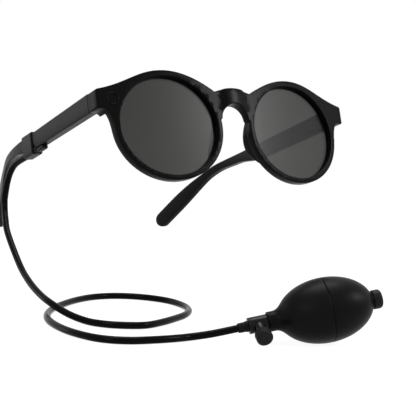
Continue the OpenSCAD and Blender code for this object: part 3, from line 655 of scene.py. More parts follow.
@dataclass
class Front:
    """The front with its rims, bridge, end pieces and nose pads."""

    sizes: FrontSizes
    finishes: Finishes
    edge: float = 0.38
    edge_steps: int = 3
    bulge: float = 1.5
    strip: float = 2.0
    end_step: float = 0.04
    pad_turns: Point2 = (167.5, 217.5)
    pad_half: float = 1.1
    pad_steps: int = 30
    pad_least: float = 0.72
    lens_sides: int = 96
    glass: Point2 = (2.6, 4.0)
    glass_edge: float = 0.05
    glass_grow: float = 0.5
    mitre: float = 0.6

    def half_outline(self) -> list[Vector]:
        """Right half of the front's outline, from the bridge's crown to the keyhole's crown.

        Returns:
            The points, clockwise.
        """
        z = self.sizes
        centre, (a, b) = (z.lens_x, z.lens_z), z.rim
        notch = (z.lens_x - a + z.notch_reach, z.notch_z)
        brow = (z.lens_x + 0.3, z.lens_z + b + z.brow_rise)
        leg_turn = 180 + math.degrees(math.asin((z.lens_z - 3) / b))
        low = arc(centre, a, b, -6, -6, 1)[0]
        w, top, foot = z.half_width, z.end_top, z.end_bottom
        dip, rise = (notch[0] - 3.9, notch[1] + 1.2), (notch[0] + 4.8, notch[1] + 3.1)
        return [
            *bezier([(0, z.bridge_top), (4.5, z.bridge_top), dip, notch], 14),
            *bezier([notch, rise, (brow[0] - 11.5, brow[1]), brow], 30)[1:],
            *bezier([brow, (brow[0] + 13.5, brow[1]), (w - 16, top + 3), (w - 1, top)], 34)[1:],
            *arc((w - 0.9, top - 1.1), 0.9, 1.0, 75, 0, 4),
            *arc((w - 0.8, foot + 0.9), 0.8, 0.9, 0, -90, 4),
            *bezier([(w - 3, foot), (w - 6.5, foot), low + Vector((0.6, 4)), low], 12),
            *arc(centre, a, b, -8, leg_turn - 360, 88),
            *arc((0.0, z.key_top - z.key_r), z.key_r, z.key_r, 4, 86, 16),
        ]

    def outline(self) -> list[Vector]:
        """The front's whole outline.

        Returns:
            The points, clockwise.
        """
        half = self.half_outline()
        other = [Vector((-p.x, p.y)) for p in reversed(half) if p.x > 0.01]
        return [*half, Vector((0, self.sizes.key_top)), *other]

    def plate(
        self,
        outlines: Sequence[Sequence[Vector]],
        depth: Point2,
        edge: float,
        steps: int,
        shape: Callable[[float, float, bool], float],
    ) -> Form:
        """A bent plate with rounded edges.

        Args:
            outlines: Its outline, then its holes.
            depth: Places of its two faces behind the front's face.
            edge: Radius of its edges.
            steps: Steps of that rounding.
            shape: Gives how far a point at x and z moves back; the last word is True behind.

        Returns:
            The mesh, in the worn frame.
        """
        form = Form()
        bm = form.bm
        edges = [e for line in outlines for e in form.loop(Vector((p.x, 0, p.y)) for p in line)]
        bmesh.ops.triangle_fill(bm, edges=edges, use_beauty=True, use_dissolve=False)
        self.slice(bm)
        ring = [e for e in bm.edges if len(e.link_faces) == 1]
        out = self.outward(ring)
        bmesh.ops.translate(bm, verts=list(bm.verts), vec=(0, depth[0], 0))
        for v, n in out.items():
            v.co -= n * edge
        thick = depth[1] - depth[0]
        quarter = [math.radians(90 * i / steps) for i in range(1, steps + 1)]
        rows = [(edge * math.sin(t) - edge, edge - edge * math.cos(t)) for t in quarter]
        rows += [(edge * math.cos(t) - edge, thick - edge + edge * math.sin(t)) for t in [0.0, *quarter]]
        rim = {v: (v.co + n * edge, n) for v, n in out.items()}
        for inset, back in rows:
            made = bmesh.ops.extrude_edge_only(bm, edges=ring)["geom"]
            new = {key(v.co): v for v in made if isinstance(v, BMVert)}
            rim = {new[key(old.co)]: held for old, held in rim.items()}
            for v, (spot, n) in rim.items():
                v.co = spot + n * inset + Vector((0, back, 0))
            ring = [e for e in made if isinstance(e, BMEdge)]
        front_faces = [f for f in bm.faces if all(abs(v.co.y - depth[0]) < 1e-6 for v in f.verts)]
        copy = bmesh.ops.duplicate(bm, geom=front_faces)["geom"]
        back_verts = [v for v in copy if isinstance(v, BMVert)]
        bmesh.ops.translate(bm, verts=back_verts, vec=(0, rows[-1][1], 0))
        bmesh.ops.remove_doubles(bm, verts=bm.verts, dist=WELD)
        middle = (depth[0] + depth[1]) / 2
        for v in bm.verts:
            v.co.y += self.sizes.y_at(v.co.x) + shape(v.co.x, v.co.z, v.co.y > middle)
        return form

    def slice(self, bm: BMesh) -> None:
        """Cuts a flat plate into strips that can bend.

        Args:
            bm: The plate's mesh, in the plane of X and Z.
        """
        inner, step = self.sizes.half_width - self.sizes.end_t, self.end_step
        count = int(self.sizes.half_width / self.strip)
        cuts = [self.strip * i for i in range(-count, count + 1)]
        cuts += [inner - step, inner + step, -inner - step, step - inner]
        planes = [((x + 0.013, 0, 0), (1, 0, 0)) for x in cuts]
        planes += [((0, 0, z + 0.017), (0, 0, 1)) for z in range(-24, 25, 4)]
        for spot, way in planes:
            geom = [*bm.verts, *bm.edges, *bm.faces]
            bmesh.ops.bisect_plane(bm, geom=geom, dist=0.001, plane_co=spot, plane_no=way)

    def outward(self, rim: Sequence[BMEdge]) -> dict[BMVert, Vector]:
        """Outward directions at a flat mesh's boundary.

        Args:
            rim: The boundary's edges.

        Returns:
            Each boundary vertex with its outward direction, longer at corners.
        """
        ways: dict[BMVert, list[Vector]] = {}
        for e in rim:
            a, b = e.verts
            along = (b.co - a.co).normalized()
            out = Vector((along.z, 0, -along.x))
            if out.dot(e.link_faces[0].calc_center_median() - (a.co + b.co) / 2) > 0:
                out.negate()
            for v in (a, b):
                ways.setdefault(v, []).append(out)
        result = {}
        for v, (m, n) in ways.items():
            mean = (m + n).normalized()
            result[v] = mean / max(mean.dot(m), self.mitre)
        return result

    def relief(self, x: float, z: float, behind: bool) -> float:
        """How far the front's surface moves back: the end blocks behind, the bridge in front.

        Args:
            x: Place across the front.
            z: Place up the front.
            behind: True for the back face.

        Returns:
            The way back in millimetres.
        """
        s = self.sizes
        if behind:
            deep = abs(x) > s.half_width - s.end_t
            return s.butt_y - s.y_at(x) - s.rim_t if deep else 0.0
        crown = smooth((z - 2) / 8) * smooth((7.2 - abs(x)) / 2.2)
        return -self.bulge * crown * (1 - (x / 9.5) ** 2)

    def lens_line(self, side: int, grow: float) -> list[Vector]:
        """Outline of a lens opening.

        Args:
            side: 1 for the right lens, -1 for the left one.
            grow: How far outside the opening it lies.

        Returns:
            The points, anticlockwise.
        """
        s, n = self.sizes, self.lens_sides
        centre = (side * s.lens_x, s.lens_z)
        return arc(centre, s.lens_w / 2 + grow, s.lens_h / 2 + grow, 0, 360 - 360 / n, n - 1)

    def pad(self, form: Form, side: int) -> None:
        """Adds one nose pad: a fin that follows the rim's nose side.

        Args:
            form: The front's mesh.
            side: 1 for the right pad, -1 for the left one.
        """
        s = self.sizes
        rings = []
        high = bezier([(0.7, 5.3), (2.7, 2.8), (5.4, -3.7), (5.4, -8)], 20)
        low = bezier([(5.4, -8.3), (5.2, -11.5), (2.6, -14.5), (0.7, -16)], 20)
        curve = [(p.y, p.x) for p in [*high, *low]]
        a, b = s.lens_w / 2 + s.rim_w / 2, s.lens_h / 2 + s.rim_w / 2
        spread = (*self.pad_turns, self.pad_steps)
        for at, out in zip(arc((s.lens_x, s.lens_z), a, b, *spread), arc((0, 0), 1, 1, *spread)):
            mid, way = Vector((at.x, 0, at.y)), Vector((out.x, 0, out.y))
            reach = min(curve, key=lambda p: abs(p[0] - mid.z))[1]
            foot = s.y_at(mid.x, s.rim_t) - 0.7
            tall = max(reach, self.pad_least) / 2
            section = rounded_box(self.pad_half, tall, min(0.75, tall * 0.9))
            rings.append([mid + way * p.x + Vector((0, foot + tall + p.y, 0)) for p in section])
        for ring in rings:
            for p in ring:
                p.x *= side
        form.loft(rings)

    def sockets(self) -> Form:
        """The notches round both hinges, and the water port and its seal's seat on the left.

        Returns:
            The cutter for the front.
        """
        s = self.sizes
        form = Form().spin(rod(0.0, s.seal_deep - 3, s.port_r), 32)
        form.spin(rod(0.0, s.seal_deep + 1, s.seal_r), 48)
        form.move(placed((-s.port_x, s.butt_y - s.seal_deep, s.port_z), math.pi / 2, "Z"))
        for side in (1, -1):
            notch = Form().spin(rod(s.knuckle_foot, 20, s.notch_r), 48)
            notch.move(placed((side * s.hinge_x, s.butt_y, 0), -math.pi / 2, "Y"))
            form.add(notch)
        return form

    def build(self) -> None:
        """Builds the front and its lenses."""
        s = self.sizes
        lines = [self.outline(), self.lens_line(1, 0), self.lens_line(-1, 0)]
        form = self.plate(lines, (0, s.rim_t), self.edge, self.edge_steps, self.relief)
        carve(form, self.sockets())
        for side in (1, -1):
            self.pad(form, side)
        piece = form.finish("front_shell", self.finishes.gloss, WORN, 30)
        settle(piece, Body.FRONT, Slot.GLOSS, "front_frame")
        for side, node in ((1, "right_lens"), (-1, "left_lens")):
            line = self.lens_line(side, self.glass_grow)
            glass = self.plate([line], self.glass, self.glass_edge, 1, lambda x, z, behind: 0.0)
            glass = glass.finish(f"{node}_glass", self.finishes.lens, WORN, 30)
            settle(glass, Body.FRONT, Slot.LENS, node)


@dataclass
class Nozzle:
    """The ring and the jet in the left end piece."""

    sizes: FrontSizes
    finishes: Finishes
    x: float = 64.3
    z: float = 11.3
    r: float = 3.1
    ring_w: float = 0.7

    def place(self) -> Matrix:
        """Matrix that turns the X axis into the front's face at the nozzle.

        Returns:
            The matrix.
        """
        turn = math.asin(self.x / self.sizes.bend_r)
        spot = Matrix.Translation((-self.x, self.sizes.y_at(self.x), self.z))
        return WORN @ spot @ Matrix.Rotation(-turn, 4, "Z") @ Matrix.Rotation(math.pi / 2, 4, "Z")

    def build(self) -> None:
        """Builds both pieces."""
        inner, half = self.r - self.ring_w, self.ring_w / 2
        crown = [(-0.12 - 0.22 * p.y, p.x) for p in arc((self.r - half, 0), half, 1, 0, 180, 8)]
        ring = Form().spin([(1.2, self.r), *crown, (1.2, inner), (1.2, self.r)])
        ring = ring.finish("nozzle_ring", self.finishes.gloss, self.place())
        settle(ring, Body.FRONT, Slot.GLOSS, "nozzle_bezel")
        hole = [(1.3, 0.0), (1.3, 0.4), (0.55, 0.4), (0.08, 0.8), (0.02, 1.0)]
        jet = Form().spin([*hole, (0.1, inner - 0.35), (0.25, inner), (1.5, inner), (1.5, 0.0)])
        jet = jet.finish("nozzle_tip", self.finishes.valve, self.place())
        settle(jet, Body.FRONT, Slot.SATIN, "nozzle_jet")


@dataclass
class Temples:
    """The two temples and the collar on the left one."""

    sizes: FrontSizes
    finishes: Finishes
    length: float = 151.0
    thick: float = 4.5
    curve_at: float = 71.0
    curve_l: float = 34.0
    tail_turn: float = math.radians(14.5)
    bend_at: float = 92.0
    top_fall: float = 2.1
    waist_h: float = 4.4
    tip_drop: float = 25.5
    tip_r: float = 4.5
    taper: float = 61.0
    lug_roof: float = 8.46
    lug_front: float = 57.6
    lug_fade: Point2 = (73.0, 12.0)
    corner: float = 0.62
    tail_corner: float = 1.5
    butt_edge: float = 0.15
    tip_steps: int = 36
    tube_r: float = 1.06

    @property
    def inner(self) -> float:
        """Inner face of a temple, out from its hinge."""
        return self.sizes.half_width - self.thick - self.sizes.hinge_x

    def tail_in(self, s: float) -> float:
        """Inward offset of a temple.

        Args:
            s: Distance behind the hinge.

        Returns:
            The offset.
        """
        c = min(max(s - self.curve_at, 0.0), self.curve_l)
        beyond = max(s - self.curve_at - self.curve_l, 0.0)
        return math.tan(self.tail_turn) * (c * c / (2 * self.curve_l) + beyond)

    def underside(self, s: float, left: bool) -> float:
        """Height of the lower edge in front of the bend.

        Args:
            s: Distance behind the hinge.
            left: True for the left temple.

        Returns:
            The height.
        """
        foot = self.sizes.end_bottom + 0.02
        waist = self.sizes.end_top - self.top_fall - self.waist_h
        if left:
            if s < self.lug_front:
                return foot
            at, far = self.lug_fade
            return self.lug_roof + (waist - self.lug_roof) * smooth((s - at) / far)
        at = self.taper
        line = bezier([(at, foot), (at + 8, foot), (at + 12, waist), (at + 21, waist)], 24)
        if s <= line[0].x:
            return foot
        return waist if s >= line[-1].x else height_at(line, s)

    def stations(self, left: bool) -> list[tuple[Vector, float, Vector]]:
        """Sections of a temple.

        Args:
            left: True for the left temple.

        Returns:
            Centre, half height and direction of each, from the hinge to the tip.
        """
        z = self.sizes
        far, high = self.bend_at, z.end_top
        top = bezier([(0, high), (40, high - 0.6), (far - 17, high - 1), (far - 2, high - 1.9)], 60)
        stops = [0.05, 0.2, *[2.0 * i for i in range(1, 46)]]
        if left:
            stops += [self.lug_front - 0.05, self.lug_front + 0.02]
        ahead = Vector((1, 0))
        result = []
        for s in sorted(stops):
            high = height_at(top, s)
            low = self.underside(s, left)
            result.append((Vector((s, (high + low) / 2)), (high - low) / 2, ahead))
        waist_z = z.end_top - self.top_fall - self.waist_h / 2
        tip = (self.length - self.tip_r, z.end_top - self.tip_drop)
        line = [(far, waist_z), (far + 12, waist_z - 0.5), (far + 20, waist_z - 3.9), tip]
        for t in (i / self.tip_steps for i in range(self.tip_steps + 1)):
            way = (on_bezier(line, t + 0.01) - on_bezier(line, t - 0.01)).normalized()
            half = lerp(self.waist_h / 2, self.tip_r, smooth((t - 0.38) / 0.5))
            result.append((on_bezier(line, t), half, way))
        for turn in (15, 30, 45, 58, 70, 80, 87):
            r = math.radians(turn)
            result.append((Vector(tip) + way * self.tip_r * math.sin(r), self.tip_r * math.cos(r), way))
        return result

    def bar(self, left: bool) -> Form:
        """One temple.

        Args:
            left: True for the left temple.

        Returns:
            The mesh, in the temple's own frame.
        """
        rings, stations = [], self.stations(left)
        for i, (centre, half, way) in enumerate(stations):
            shrink = self.butt_edge if i == 0 else 0.0
            near_tip = max(0, i - (len(stations) - 8)) / 7
            wide = self.thick / 2 * math.sqrt(max(1 - near_tip**2.4, 0.02))
            r = lerp(self.corner, self.tail_corner, smooth((centre.x - 100) / 30))
            section = rounded_box(wide - shrink, half - shrink, r)
            up = Vector((-way.y, way.x))
            ring = []
            for p in section:
                spot = centre + up * p.y
                mid = self.inner + self.thick / 2 - self.tail_in(spot.x)
                ring.append(Vector((mid + p.x, spot.x, spot.y)))
            rings.append(ring)
        form = Form()
        form.loft(rings)
        if left:
            z = self.sizes
            hole = Form().spin(rod(-1, 5, self.tube_r), 40)
            carve(form, hole.move(placed((z.port_x - z.hinge_x, 0, z.port_z), math.pi / 2, "Z")))
        return form

    def collar(self) -> Form:
        """The band round the left temple, its lug for the hose and the lug's front end.

        Returns:
            The mesh, in the temple's own frame.
        """
        mid = self.inner + self.thick / 2
        # Place, half width, low and high edge and corner radius of each section
        band = [
            (60.0, 2.78, 4.6, 15.6, 1.2), (60.08, 2.92, 4.42, 15.78, 1.3), (60.25, 3.05, 4.3, 15.9, 1.4),
            (70.25, 3.05, 4.3, 15.9, 1.4), (70.42, 2.92, 4.42, 15.78, 1.3), (70.5, 2.78, 4.6, 15.6, 1.2),
        ]
        lug = [
            (57.7, 1.75, 4.6, 8.1, 1.6), (57.8, 1.95, 4.4, 8.3, 1.8), (58.0, 2.05, 4.3, 8.4, 1.9),
            (70.8, 2.05, 4.3, 8.4, 1.9), (71.0, 1.9, 4.45, 8.25, 1.8),
        ]
        end = [
            (50.5, 1.1, 5.4, 6.5, 0.5), (50.75, 1.45, 4.95, 6.6, 0.6), (51.4, 1.65, 4.7, 6.66, 0.7),
            (58.5, 1.65, 4.7, 6.66, 0.7),
        ]
        form = Form()
        for rows in (band, lug, end):
            rings = []
            for s, half, low, high, r in rows:
                section = rounded_box(half, (high - low) / 2, r, 6)
                rings.append([Vector((mid + p.x, s, (low + high) / 2 + p.y)) for p in section])
            form.loft(rings)
        return form

    def build(self) -> None:
        """Builds both temples and the collar."""
        for side, left, body, node in (
            (-1, True, Body.LEFT_TEMPLE, "left_temple"),
            (1, False, Body.RIGHT_TEMPLE, "right_temple"),
        ):
            here = self.sizes.hinge(side)
            piece = self.bar(left).finish(f"{node}_bar", self.finishes.temple, here, 30)
            settle(piece, body, Slot.GLOSS, node)
        collar = self.collar().finish("hose_band", self.finishes.collar, self.sizes.hinge(-1), 30)
        settle(collar, Body.LEFT_TEMPLE, Slot.GLOSS, "hose_collar")


@dataclass
class Bulb:
    """The hand bulb with its valves, air screw and tail cap, along its own X axis."""

    finishes: Finishes
    centre: Spot = (6.4, -67.6, 14.9 + FLOOR_Z)
    turn: float = math.radians(24.5)
    slope: float = math.radians(13.2)
    r: float = 14.35
    half: float = 21.7
    neck_r: float = 4.4
    tail_r: float = 3.9
    bore_r: float = 2.8
    neck_at: float = 26.3
    tail_at: float = 21.3
    valve_r: float = 3.6
    valve_l: float = 8.7
    screw_at: float = 4.3
    knob_at: float = 7.5
    knob_h: float = 5.0
    knob_r: float = 3.68
    knob_roll: float = math.radians(69)
    sleeve_r: float = 2.2
    sleeve_l: float = 4.6
    knurls: int = 26
    knurl_deep: float = 0.07
    sides: int = 160

    @property
    def axis(self) -> Vector:
        """Direction from the hose to the tail."""
        return (self.place().to_3x3() @ Vector((1, 0, 0))).normalized()

    def place(self) -> Matrix:
        """Matrix from the bulb's own frame."""
        turned = Matrix.Rotation(-self.turn, 4, "Z") @ Matrix.Rotation(-self.slope, 4, "Y")
        return Matrix.Translation(self.centre) @ turned

    def screw(self) -> Matrix:
        """Matrix that turns the X axis into the air screw's, from the valve's axis outwards.

        Returns:
            The matrix.
        """
        spot = Matrix.Translation((-self.neck_at - self.screw_at, 0, 0))
        roll = Matrix.Rotation(math.pi - self.knob_roll, 4, "X")
        return self.place() @ spot @ roll @ Matrix.Rotation(-math.pi / 2, 4, "Y")

    def front_shell(self) -> Profile:
        """The half on the hose's side, with its flared neck.

        Returns:
            Its profile.
        """
        turn = math.radians(32)
        shoulder = Vector((-self.half * math.cos(turn), self.r * math.sin(turn)))
        at, r = self.neck_at, self.neck_r
        bend = shoulder + Vector((-1.5, -1.6))
        flare = bezier([(3.4 - at, r + 0.05), (5.2 - at, r + 0.3), bend, shoulder], 16)
        return [
            (-at + 1.5, self.bore_r), (-at, self.bore_r), (-at, r - 0.35), (-at + 0.1, r - 0.1),
            (-at + 0.35, r), (-at + 2.4, r), *flare,
            *arc((0, 0), self.half, self.r, 180 - 34, 90.9, 40),
            (-0.12, self.r - 0.12), (-0.03, self.r - 0.42), (-0.03, self.r - 2),
        ]

    def rear_shell(self) -> Profile:
        """The half on the tail's side.

        Returns:
            Its profile.
        """
        foot = math.degrees(math.asin(self.tail_r / self.r))
        at, r = self.tail_at, self.tail_r
        return [
            (0.03, self.r - 2), (0.03, self.r - 0.42), (0.12, self.r - 0.12),
            *arc((0, 0), self.half, self.r, 89.1, foot + 4, 44),
            (at - 0.75, r + 0.45), (at - 0.4, r + 0.12), (at, r), (at, self.bore_r),
        ]

    def body(self) -> Form:
        """The valve body with the boss of its air screw.

        Returns:
            The mesh, in its place.
        """
        near, far, r = -self.neck_at - 0.02, -self.neck_at - self.valve_l, self.valve_r
        bore = self.bore_r - 0.02
        profile = [
            (far, 0.0), (far, r - 0.35), (far + 0.1, r - 0.1), (far + 0.35, r), (near - 0.35, r),
            (near - 0.1, r - 0.1), (near, r - 0.35), (near, bore), (near + 6, bore), (near + 6, 0.0),
        ]
        form = Form().spin(profile, 72).move(self.place())
        boss = [(0.5, 0.0), (0.5, 2.4), (3.3, 2.6), (3.9, 2.42), (6.95, 2.4), (7.2, 2.15), (7.2, 0.0)]
        form.add(Form().spin(boss, 48).move(self.screw()))
        return form

    def knob(self) -> Form:
        """The air screw's knob with its crossed grip grooves.

        Returns:
            The mesh, along the X axis.
        """
        at, h, r = self.knob_at, self.knob_h, self.knob_r
        rows, top = 22, self.knob_at + self.knob_h
        profile = [
            (at, 0.0), (at, r - 0.75), (at + 0.15, r - 0.5),
            *[(at + 0.7 + (h - 1.5) * i / rows, r) for i in range(rows + 1)],
            (top - 0.55, r - 0.25), (top - 0.25, r - 0.55), (top - 0.1, r - 1.0), (top, r - 1.5),
            (top - 0.12, r - 2.1), (top - 0.15, 0.0),
        ]
        form = Form().spin(profile, self.sides)
        for v in form.bm.verts:
            reach = math.hypot(v.co.y, v.co.z)
            if abs(reach - r) > 0.02:
                continue
            around = math.atan2(v.co.z, v.co.y) * self.knurls
            along = (v.co.x - at) * self.knurls / r
            cuts = [abs(((around + s * along) / math.tau) % 1 - 0.5) * 2 for s in (1, -1)]
            deep = max(max(1 - (1 - c) * 3, 0.0) for c in cuts)
            v.co.yz *= 1 - self.knurl_deep * deep
        return form

    def cap(self) -> Profile:
        """The rounded cap of the inlet valve.

        Returns:
            Its profile.
        """
        at, r = self.tail_at + 0.02, self.tail_r + 0.35
        return [
            (at - 0.6, 0.0), (at - 0.6, 3.3), (at, 3.5), (at + 0.12, r - 0.35), (at + 0.3, r - 0.1),
            (at + 0.5, r), *arc((at + 2.9, r - 1.4), 1.4, 1.4, 90, 0, 10),
            (at + 4.28, 1.8), (at + 4.15, 1.55), (at + 3.9, 1.5), (at + 1.5, 1.5), (at + 1.4, 0.0),
        ]

    def sleeve(self) -> Profile:
        """The stepped cuff on the hose's end.

        Returns:
            Its profile.
        """
        near = -self.neck_at - self.valve_l - 0.02
        far, r = near - self.sleeve_l, self.sleeve_r
        return [
            (near, 1.7), (near, r + 0.1), (near - 0.1, r + 0.2), (near - 1.1, r + 0.2),
            (near - 1.25, r + 0.05), (near - 1.4, r), (far + 0.5, r - 0.05), (far + 0.12, r - 0.12),
            (far, r - 0.3), (far, 1.7), (near, 1.7),
        ]

    def build(self) -> Object:
        """Builds every piece round the bulb.

        Returns:
            The cuff, which goes with the hose.
        """
        f, here = self.finishes, self.place()
        for name, profile, steps, finish, slot, node in (
            ("bulb_front", self.front_shell(), self.sides, f.rubber, Slot.RUBBER, "bulb_front_shell"),
            ("bulb_rear", self.rear_shell(), self.sides, f.rubber, Slot.RUBBER, "bulb_rear_shell"),
            ("inlet_cap", self.cap(), 96, f.knob, Slot.GLOSS, "inlet_valve_body"),
        ):
            piece = Form().spin(profile, steps).finish(name, finish, here)
            settle(piece, Body.FRONT, slot, node)
        valve = self.body().finish("air_valve_body", f.valve, Matrix.Identity(4))
        settle(valve, Body.FRONT, Slot.GLOSS, "valve_body")
        knob = self.knob().finish("air_knob_grip", f.knob, self.screw(), 25)
        settle(knob, Body.AIR_KNOB, Slot.SATIN, "valve_knob")
        cuff = Form().spin(self.sleeve(), 48).finish("hose_cuff", f.cuff, here)
        settle(cuff, Body.FRONT, Slot.RUBBER, "hose_sleeve")
        return cuff


@dataclass
class Hose:
    """The water hose from the collar on the left temple to the bulb."""

    sizes: FrontSizes
    bulb: Bulb
    finishes: Finishes
    diameter: float = 3.3
    steps: int = 8
    sides: int = 20
    collar_mouth: float = 71.35
    collar_z: float = 6.35
    inside_cuff: float = 1.22
    last_straight: float = 14.0
    hold: float = 8.0
    places: tuple[Spot, ...] = (
        (-71, 90, 68.7), (-71.5, 95, 64.8), (-71.5, 99, 59.3), (-71.9, 101, 51.2), (-72.2, 100, 45),
        (-73.7, 95, 39.3), (-75.5, 87, 32.4), (-77, 68, 19), (-79, 52, 13), (-80, 38, 9.2),
        (-80, 26, 6.8), (-77, 14, 3.6), (-73, 4, 1.9), (-69, -4, 1.7), (-62, -10, 1.7),
        (-52, -13, 1.7), (-41, -9, 1.7), (-29, -2, 1.7), (-18, 6, 1.7), (-9, 17, 1.7),
        (-4, 31, 1.7), (-4, 46, 1.7), (-11, 59, 1.7), (-22, 66, 1.7), (-35, 66, 1.7),
        (-48, 60, 1.7), (-61, 50, 1.7), (-73, 38, 1.7), (-83, 23, 1.7), (-89, 7, 1.7),
        (-91.2, -12, 1.7), (-89, -28, 1.7), (-84, -37, 1.7), (-76, -42, 1.7), (-66, -43.7, 1.7),
        (-56, -44, 1.7), (-47, -43.4, 1.8),
    )

    def line(self) -> list[Vector]:
        """The hose's centreline, through the places that the part's source gives.

        Returns:
            Its points in millimetres.
        """
        s = self.sizes
        start = WORN @ Vector((-s.port_x, s.butt_y + self.collar_mouth, self.collar_z))
        start_way = WORN.to_3x3() @ Vector((0, 1, 0))
        axis = self.bulb.axis
        reach = self.bulb.neck_at + self.bulb.valve_l + self.inside_cuff
        stop = Vector(self.bulb.centre) - axis * reach
        laid = [Vector((x, y, z + FLOOR_Z)) for x, y, z in self.places]
        route = [start, *laid, stop - axis * self.last_straight, stop]
        held = [start - start_way * self.hold, *route, stop + axis * self.hold]
        line = []
        for a, b, c, d in zip(held, held[1:], held[2:], held[3:]):
            for k in range(self.steps):
                t = k / self.steps
                bent = 2 * b + (c - a) * t + (2 * a - 5 * b + 4 * c - d) * t**2
                line.append((bent + (3 * b - a - 3 * c + d) * t**3) / 2)
        return [*line, stop]

    def build(self, cuff: Object) -> None:
        """Builds the hose.

        Args:
            cuff: The piece on its far end; not used.
        """
        line = self.line()
        rings = []
        side = Vector((1, 0, 0))
        turns = [math.tau * k / self.sides for k in range(self.sides)]
        for i, p in enumerate(line):
            way = (line[min(i + 1, len(line) - 1)] - line[max(i - 1, 0)]).normalized()
            side = (side - way * side.dot(way)).normalized()
            over = way.cross(side)
            spokes = [side * math.cos(t) + over * math.sin(t) for t in turns]
            rings.append([p + spoke * self.diameter / 2 for spoke in spokes])
        form = Form()
        form.loft(rings)
        piece = form.finish("water_hose", self.finishes.hose, Matrix.Identity(4), 50)
        length = sum((b - a).length for a, b in zip(line, line[1:]))
        LOG.info("hose length %.1f mm", length)
        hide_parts("hose")
        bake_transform(piece)
        line[0] * MM
        [p * MM for p in line]


@dataclass
class Hardware:
    """The small CAD nodes that keep their own meshes."""

    finishes: Finishes

    def build(self) -> None:
        """Gives each node its finish."""
        f = self.finishes
        nodes = {
            f.steel: [
                "left_hinge_screw", "right_hinge_screw", "hose_barb", "valve_seat", "outlet_ball",
                "valve_stem", "inlet_ball",
            ],
            f.leaf: ["left_front_leaf", "right_front_leaf", "left_temple_leaf", "right_temple_leaf"],
            f.tube: ["temple_tube"],
            f.temple: ["channel_cover"],
            f.cuff: ["port_seal"],
            f.knob: ["inlet_retainer"],
        }
        for finish, names in nodes.items():
            for name in names:
                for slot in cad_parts[name].material_slots:
                    slot.material = finish
                LOG.info("%s keeps its mesh", name)


# Studio


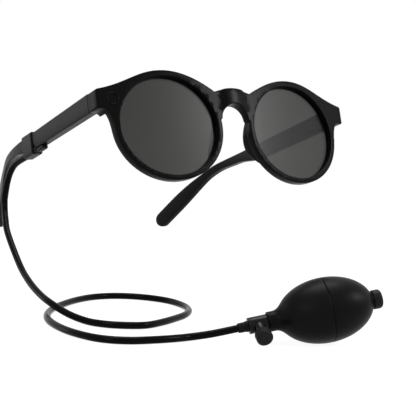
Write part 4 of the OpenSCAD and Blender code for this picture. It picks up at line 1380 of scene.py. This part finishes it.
@dataclass
class Studio:
    """The camera, the floor, the lamps and the pale surroundings."""

    eye: Spot = (-304.1, -426.7, -3.47)
    ahead: Spot = (0.5631, 0.8236, -0.0673)
    right: Spot = (0.8263, -0.5606, 0.0536)
    lens: float = 94.175
    sensor: float = 36.0
    clip: Point2 = (0.01, 20)
    ambient: float = 0.4
    floor_share: float = 0.8
    floor_glow: float = 1.17
    floor_size: float = 6000.0

    def camera(self) -> None:
        """Sets the camera at the photograph's view."""
        data = bpy.data.cameras.new("camera")
        data.lens, data.clip_start, data.clip_end = self.lens, *self.clip
        data.sensor_width = data.sensor_height = self.sensor
        back = -Vector(self.ahead).normalized()
        right = Vector(self.right)
        right = (right - back * right.dot(back)).normalized()
        up = back.cross(right)
        eye = Vector(self.eye) * MM
        rows = [[right[i], up[i], back[i], eye[i]] for i in range(3)]
        bpy.context.scene.camera = camera = stand("camera", data)
        camera.matrix_world = Matrix([*rows, [0, 0, 0, 1]])

    def lamp(self, name: str, spot: Spot, aim: Spot, size: Point2, watts: float) -> None:
        """Adds one soft area lamp.

        Args:
            name: Its name.
            spot: Its place in metres.
            aim: The point that it faces.
            size: Its width and height in metres.
            watts: Its power.
        """
        data = bpy.data.lights.new(name, "AREA")
        data.shape = "RECTANGLE"
        data.size, data.size_y = size
        data.energy = watts
        turn = (Vector(aim) - Vector(spot)).to_track_quat("-Z", "Y").to_matrix().to_4x4()
        stand(name, data).matrix_world = Matrix.Translation(spot) @ turn

    def seen(self, shader: Shader) -> Number:
        """Tells which rays look at the surroundings.

        Args:
            shader: The shader that asks.

        Returns:
            1 for rays from the camera, off a shiny surface or through glass, else 0.
        """
        path = shader.node("ShaderNodeLightPath")
        names = ("Is Camera Ray", "Is Glossy Ray", "Is Transmission Ray")
        camera, glossy, glass = (Number(shader, path.outputs[n]) for n in names)
        return (camera + glossy + glass).clamp()

    def floor(self) -> None:
        """Lays the floor."""
        form = Form()
        bmesh.ops.create_grid(form.bm, x_segments=1, y_segments=1, size=self.floor_size)
        shader = Shader("pale_floor")
        light = {"Color": (1, 1, 1, 1), "Strength": self.floor_glow}
        glow = shader.node("ShaderNodeEmission", light)
        matt = shader.node("ShaderNodeBsdfDiffuse", {"Color": (0.8, 0.8, 0.8, 1)})
        share = self.seen(shader) * self.floor_share
        mix = shader.node("ShaderNodeMixShader", {0: share, 1: matt.outputs[0], 2: glow.outputs[0]})
        shader.tree.links.new(mix.outputs[0], shader.output.inputs[0])
        floor = form.finish("floor", shader.material, Matrix.Translation((0, 0, FLOOR_Z - 0.02)))

    def world(self) -> None:
        """Sets the surroundings: white to look at, dimmer as a light."""
        world = bpy.data.worlds.new("surroundings")
        bpy.context.scene.world = world
        shader = Shader(world)
        level = self.seen(shader) * (1 - self.ambient) + self.ambient
        sky = shader.node("ShaderNodeBackground", {"Color": (1, 1, 1, 1), "Strength": level})
        shader.tree.links.new(sky.outputs[0], shader.output.inputs[0])

    def build(self) -> None:
        """Sets up the studio."""
        self.camera()
        self.floor()
        self.world()
        for name, spot, aim, size, watts in (
            ("top_lamp", (0.05, 0.15, 0.9), (0, 0, -0.02), (0.6, 0.45), 6),
            ("mirror_lamp", (0.67, -0.74, 0.61), (0, 0, 0.01), (0.22, 0.3), 5),
            ("side_lamp", (0.9, -0.54, 0.46), (0.04, 0, 0.01), (0.3, 0.3), 0.5),
            ("rear_lamp", (-0.78, 1.15, 0.14), (-0.07, 0.05, 0), (0.36, 0.4), 1.0),
            ("left_lamp", (-1.0, -0.5, 0.5), (0, 0, -0.03), (0.4, 0.6), 2.0),
        ):
            self.lamp(name, spot, aim, size, watts)
        bpy.context.scene.view_settings.view_transform = "Standard"


def main() -> None:
    """Builds every piece in order."""
    logging.basicConfig(level=logging.INFO, format="%(message)s")
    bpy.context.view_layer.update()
    finishes = Finishes()
    sizes = FrontSizes()
    Studio().build()
    bulb = Bulb(finishes)
    Hose(sizes, bulb, finishes).build(bulb.build())
    Front(sizes, finishes).build()
    Nozzle(sizes, finishes).build()
    Temples(sizes, finishes).build()
    Hardware(finishes).build()


if __name__ == "__main__":
    main()
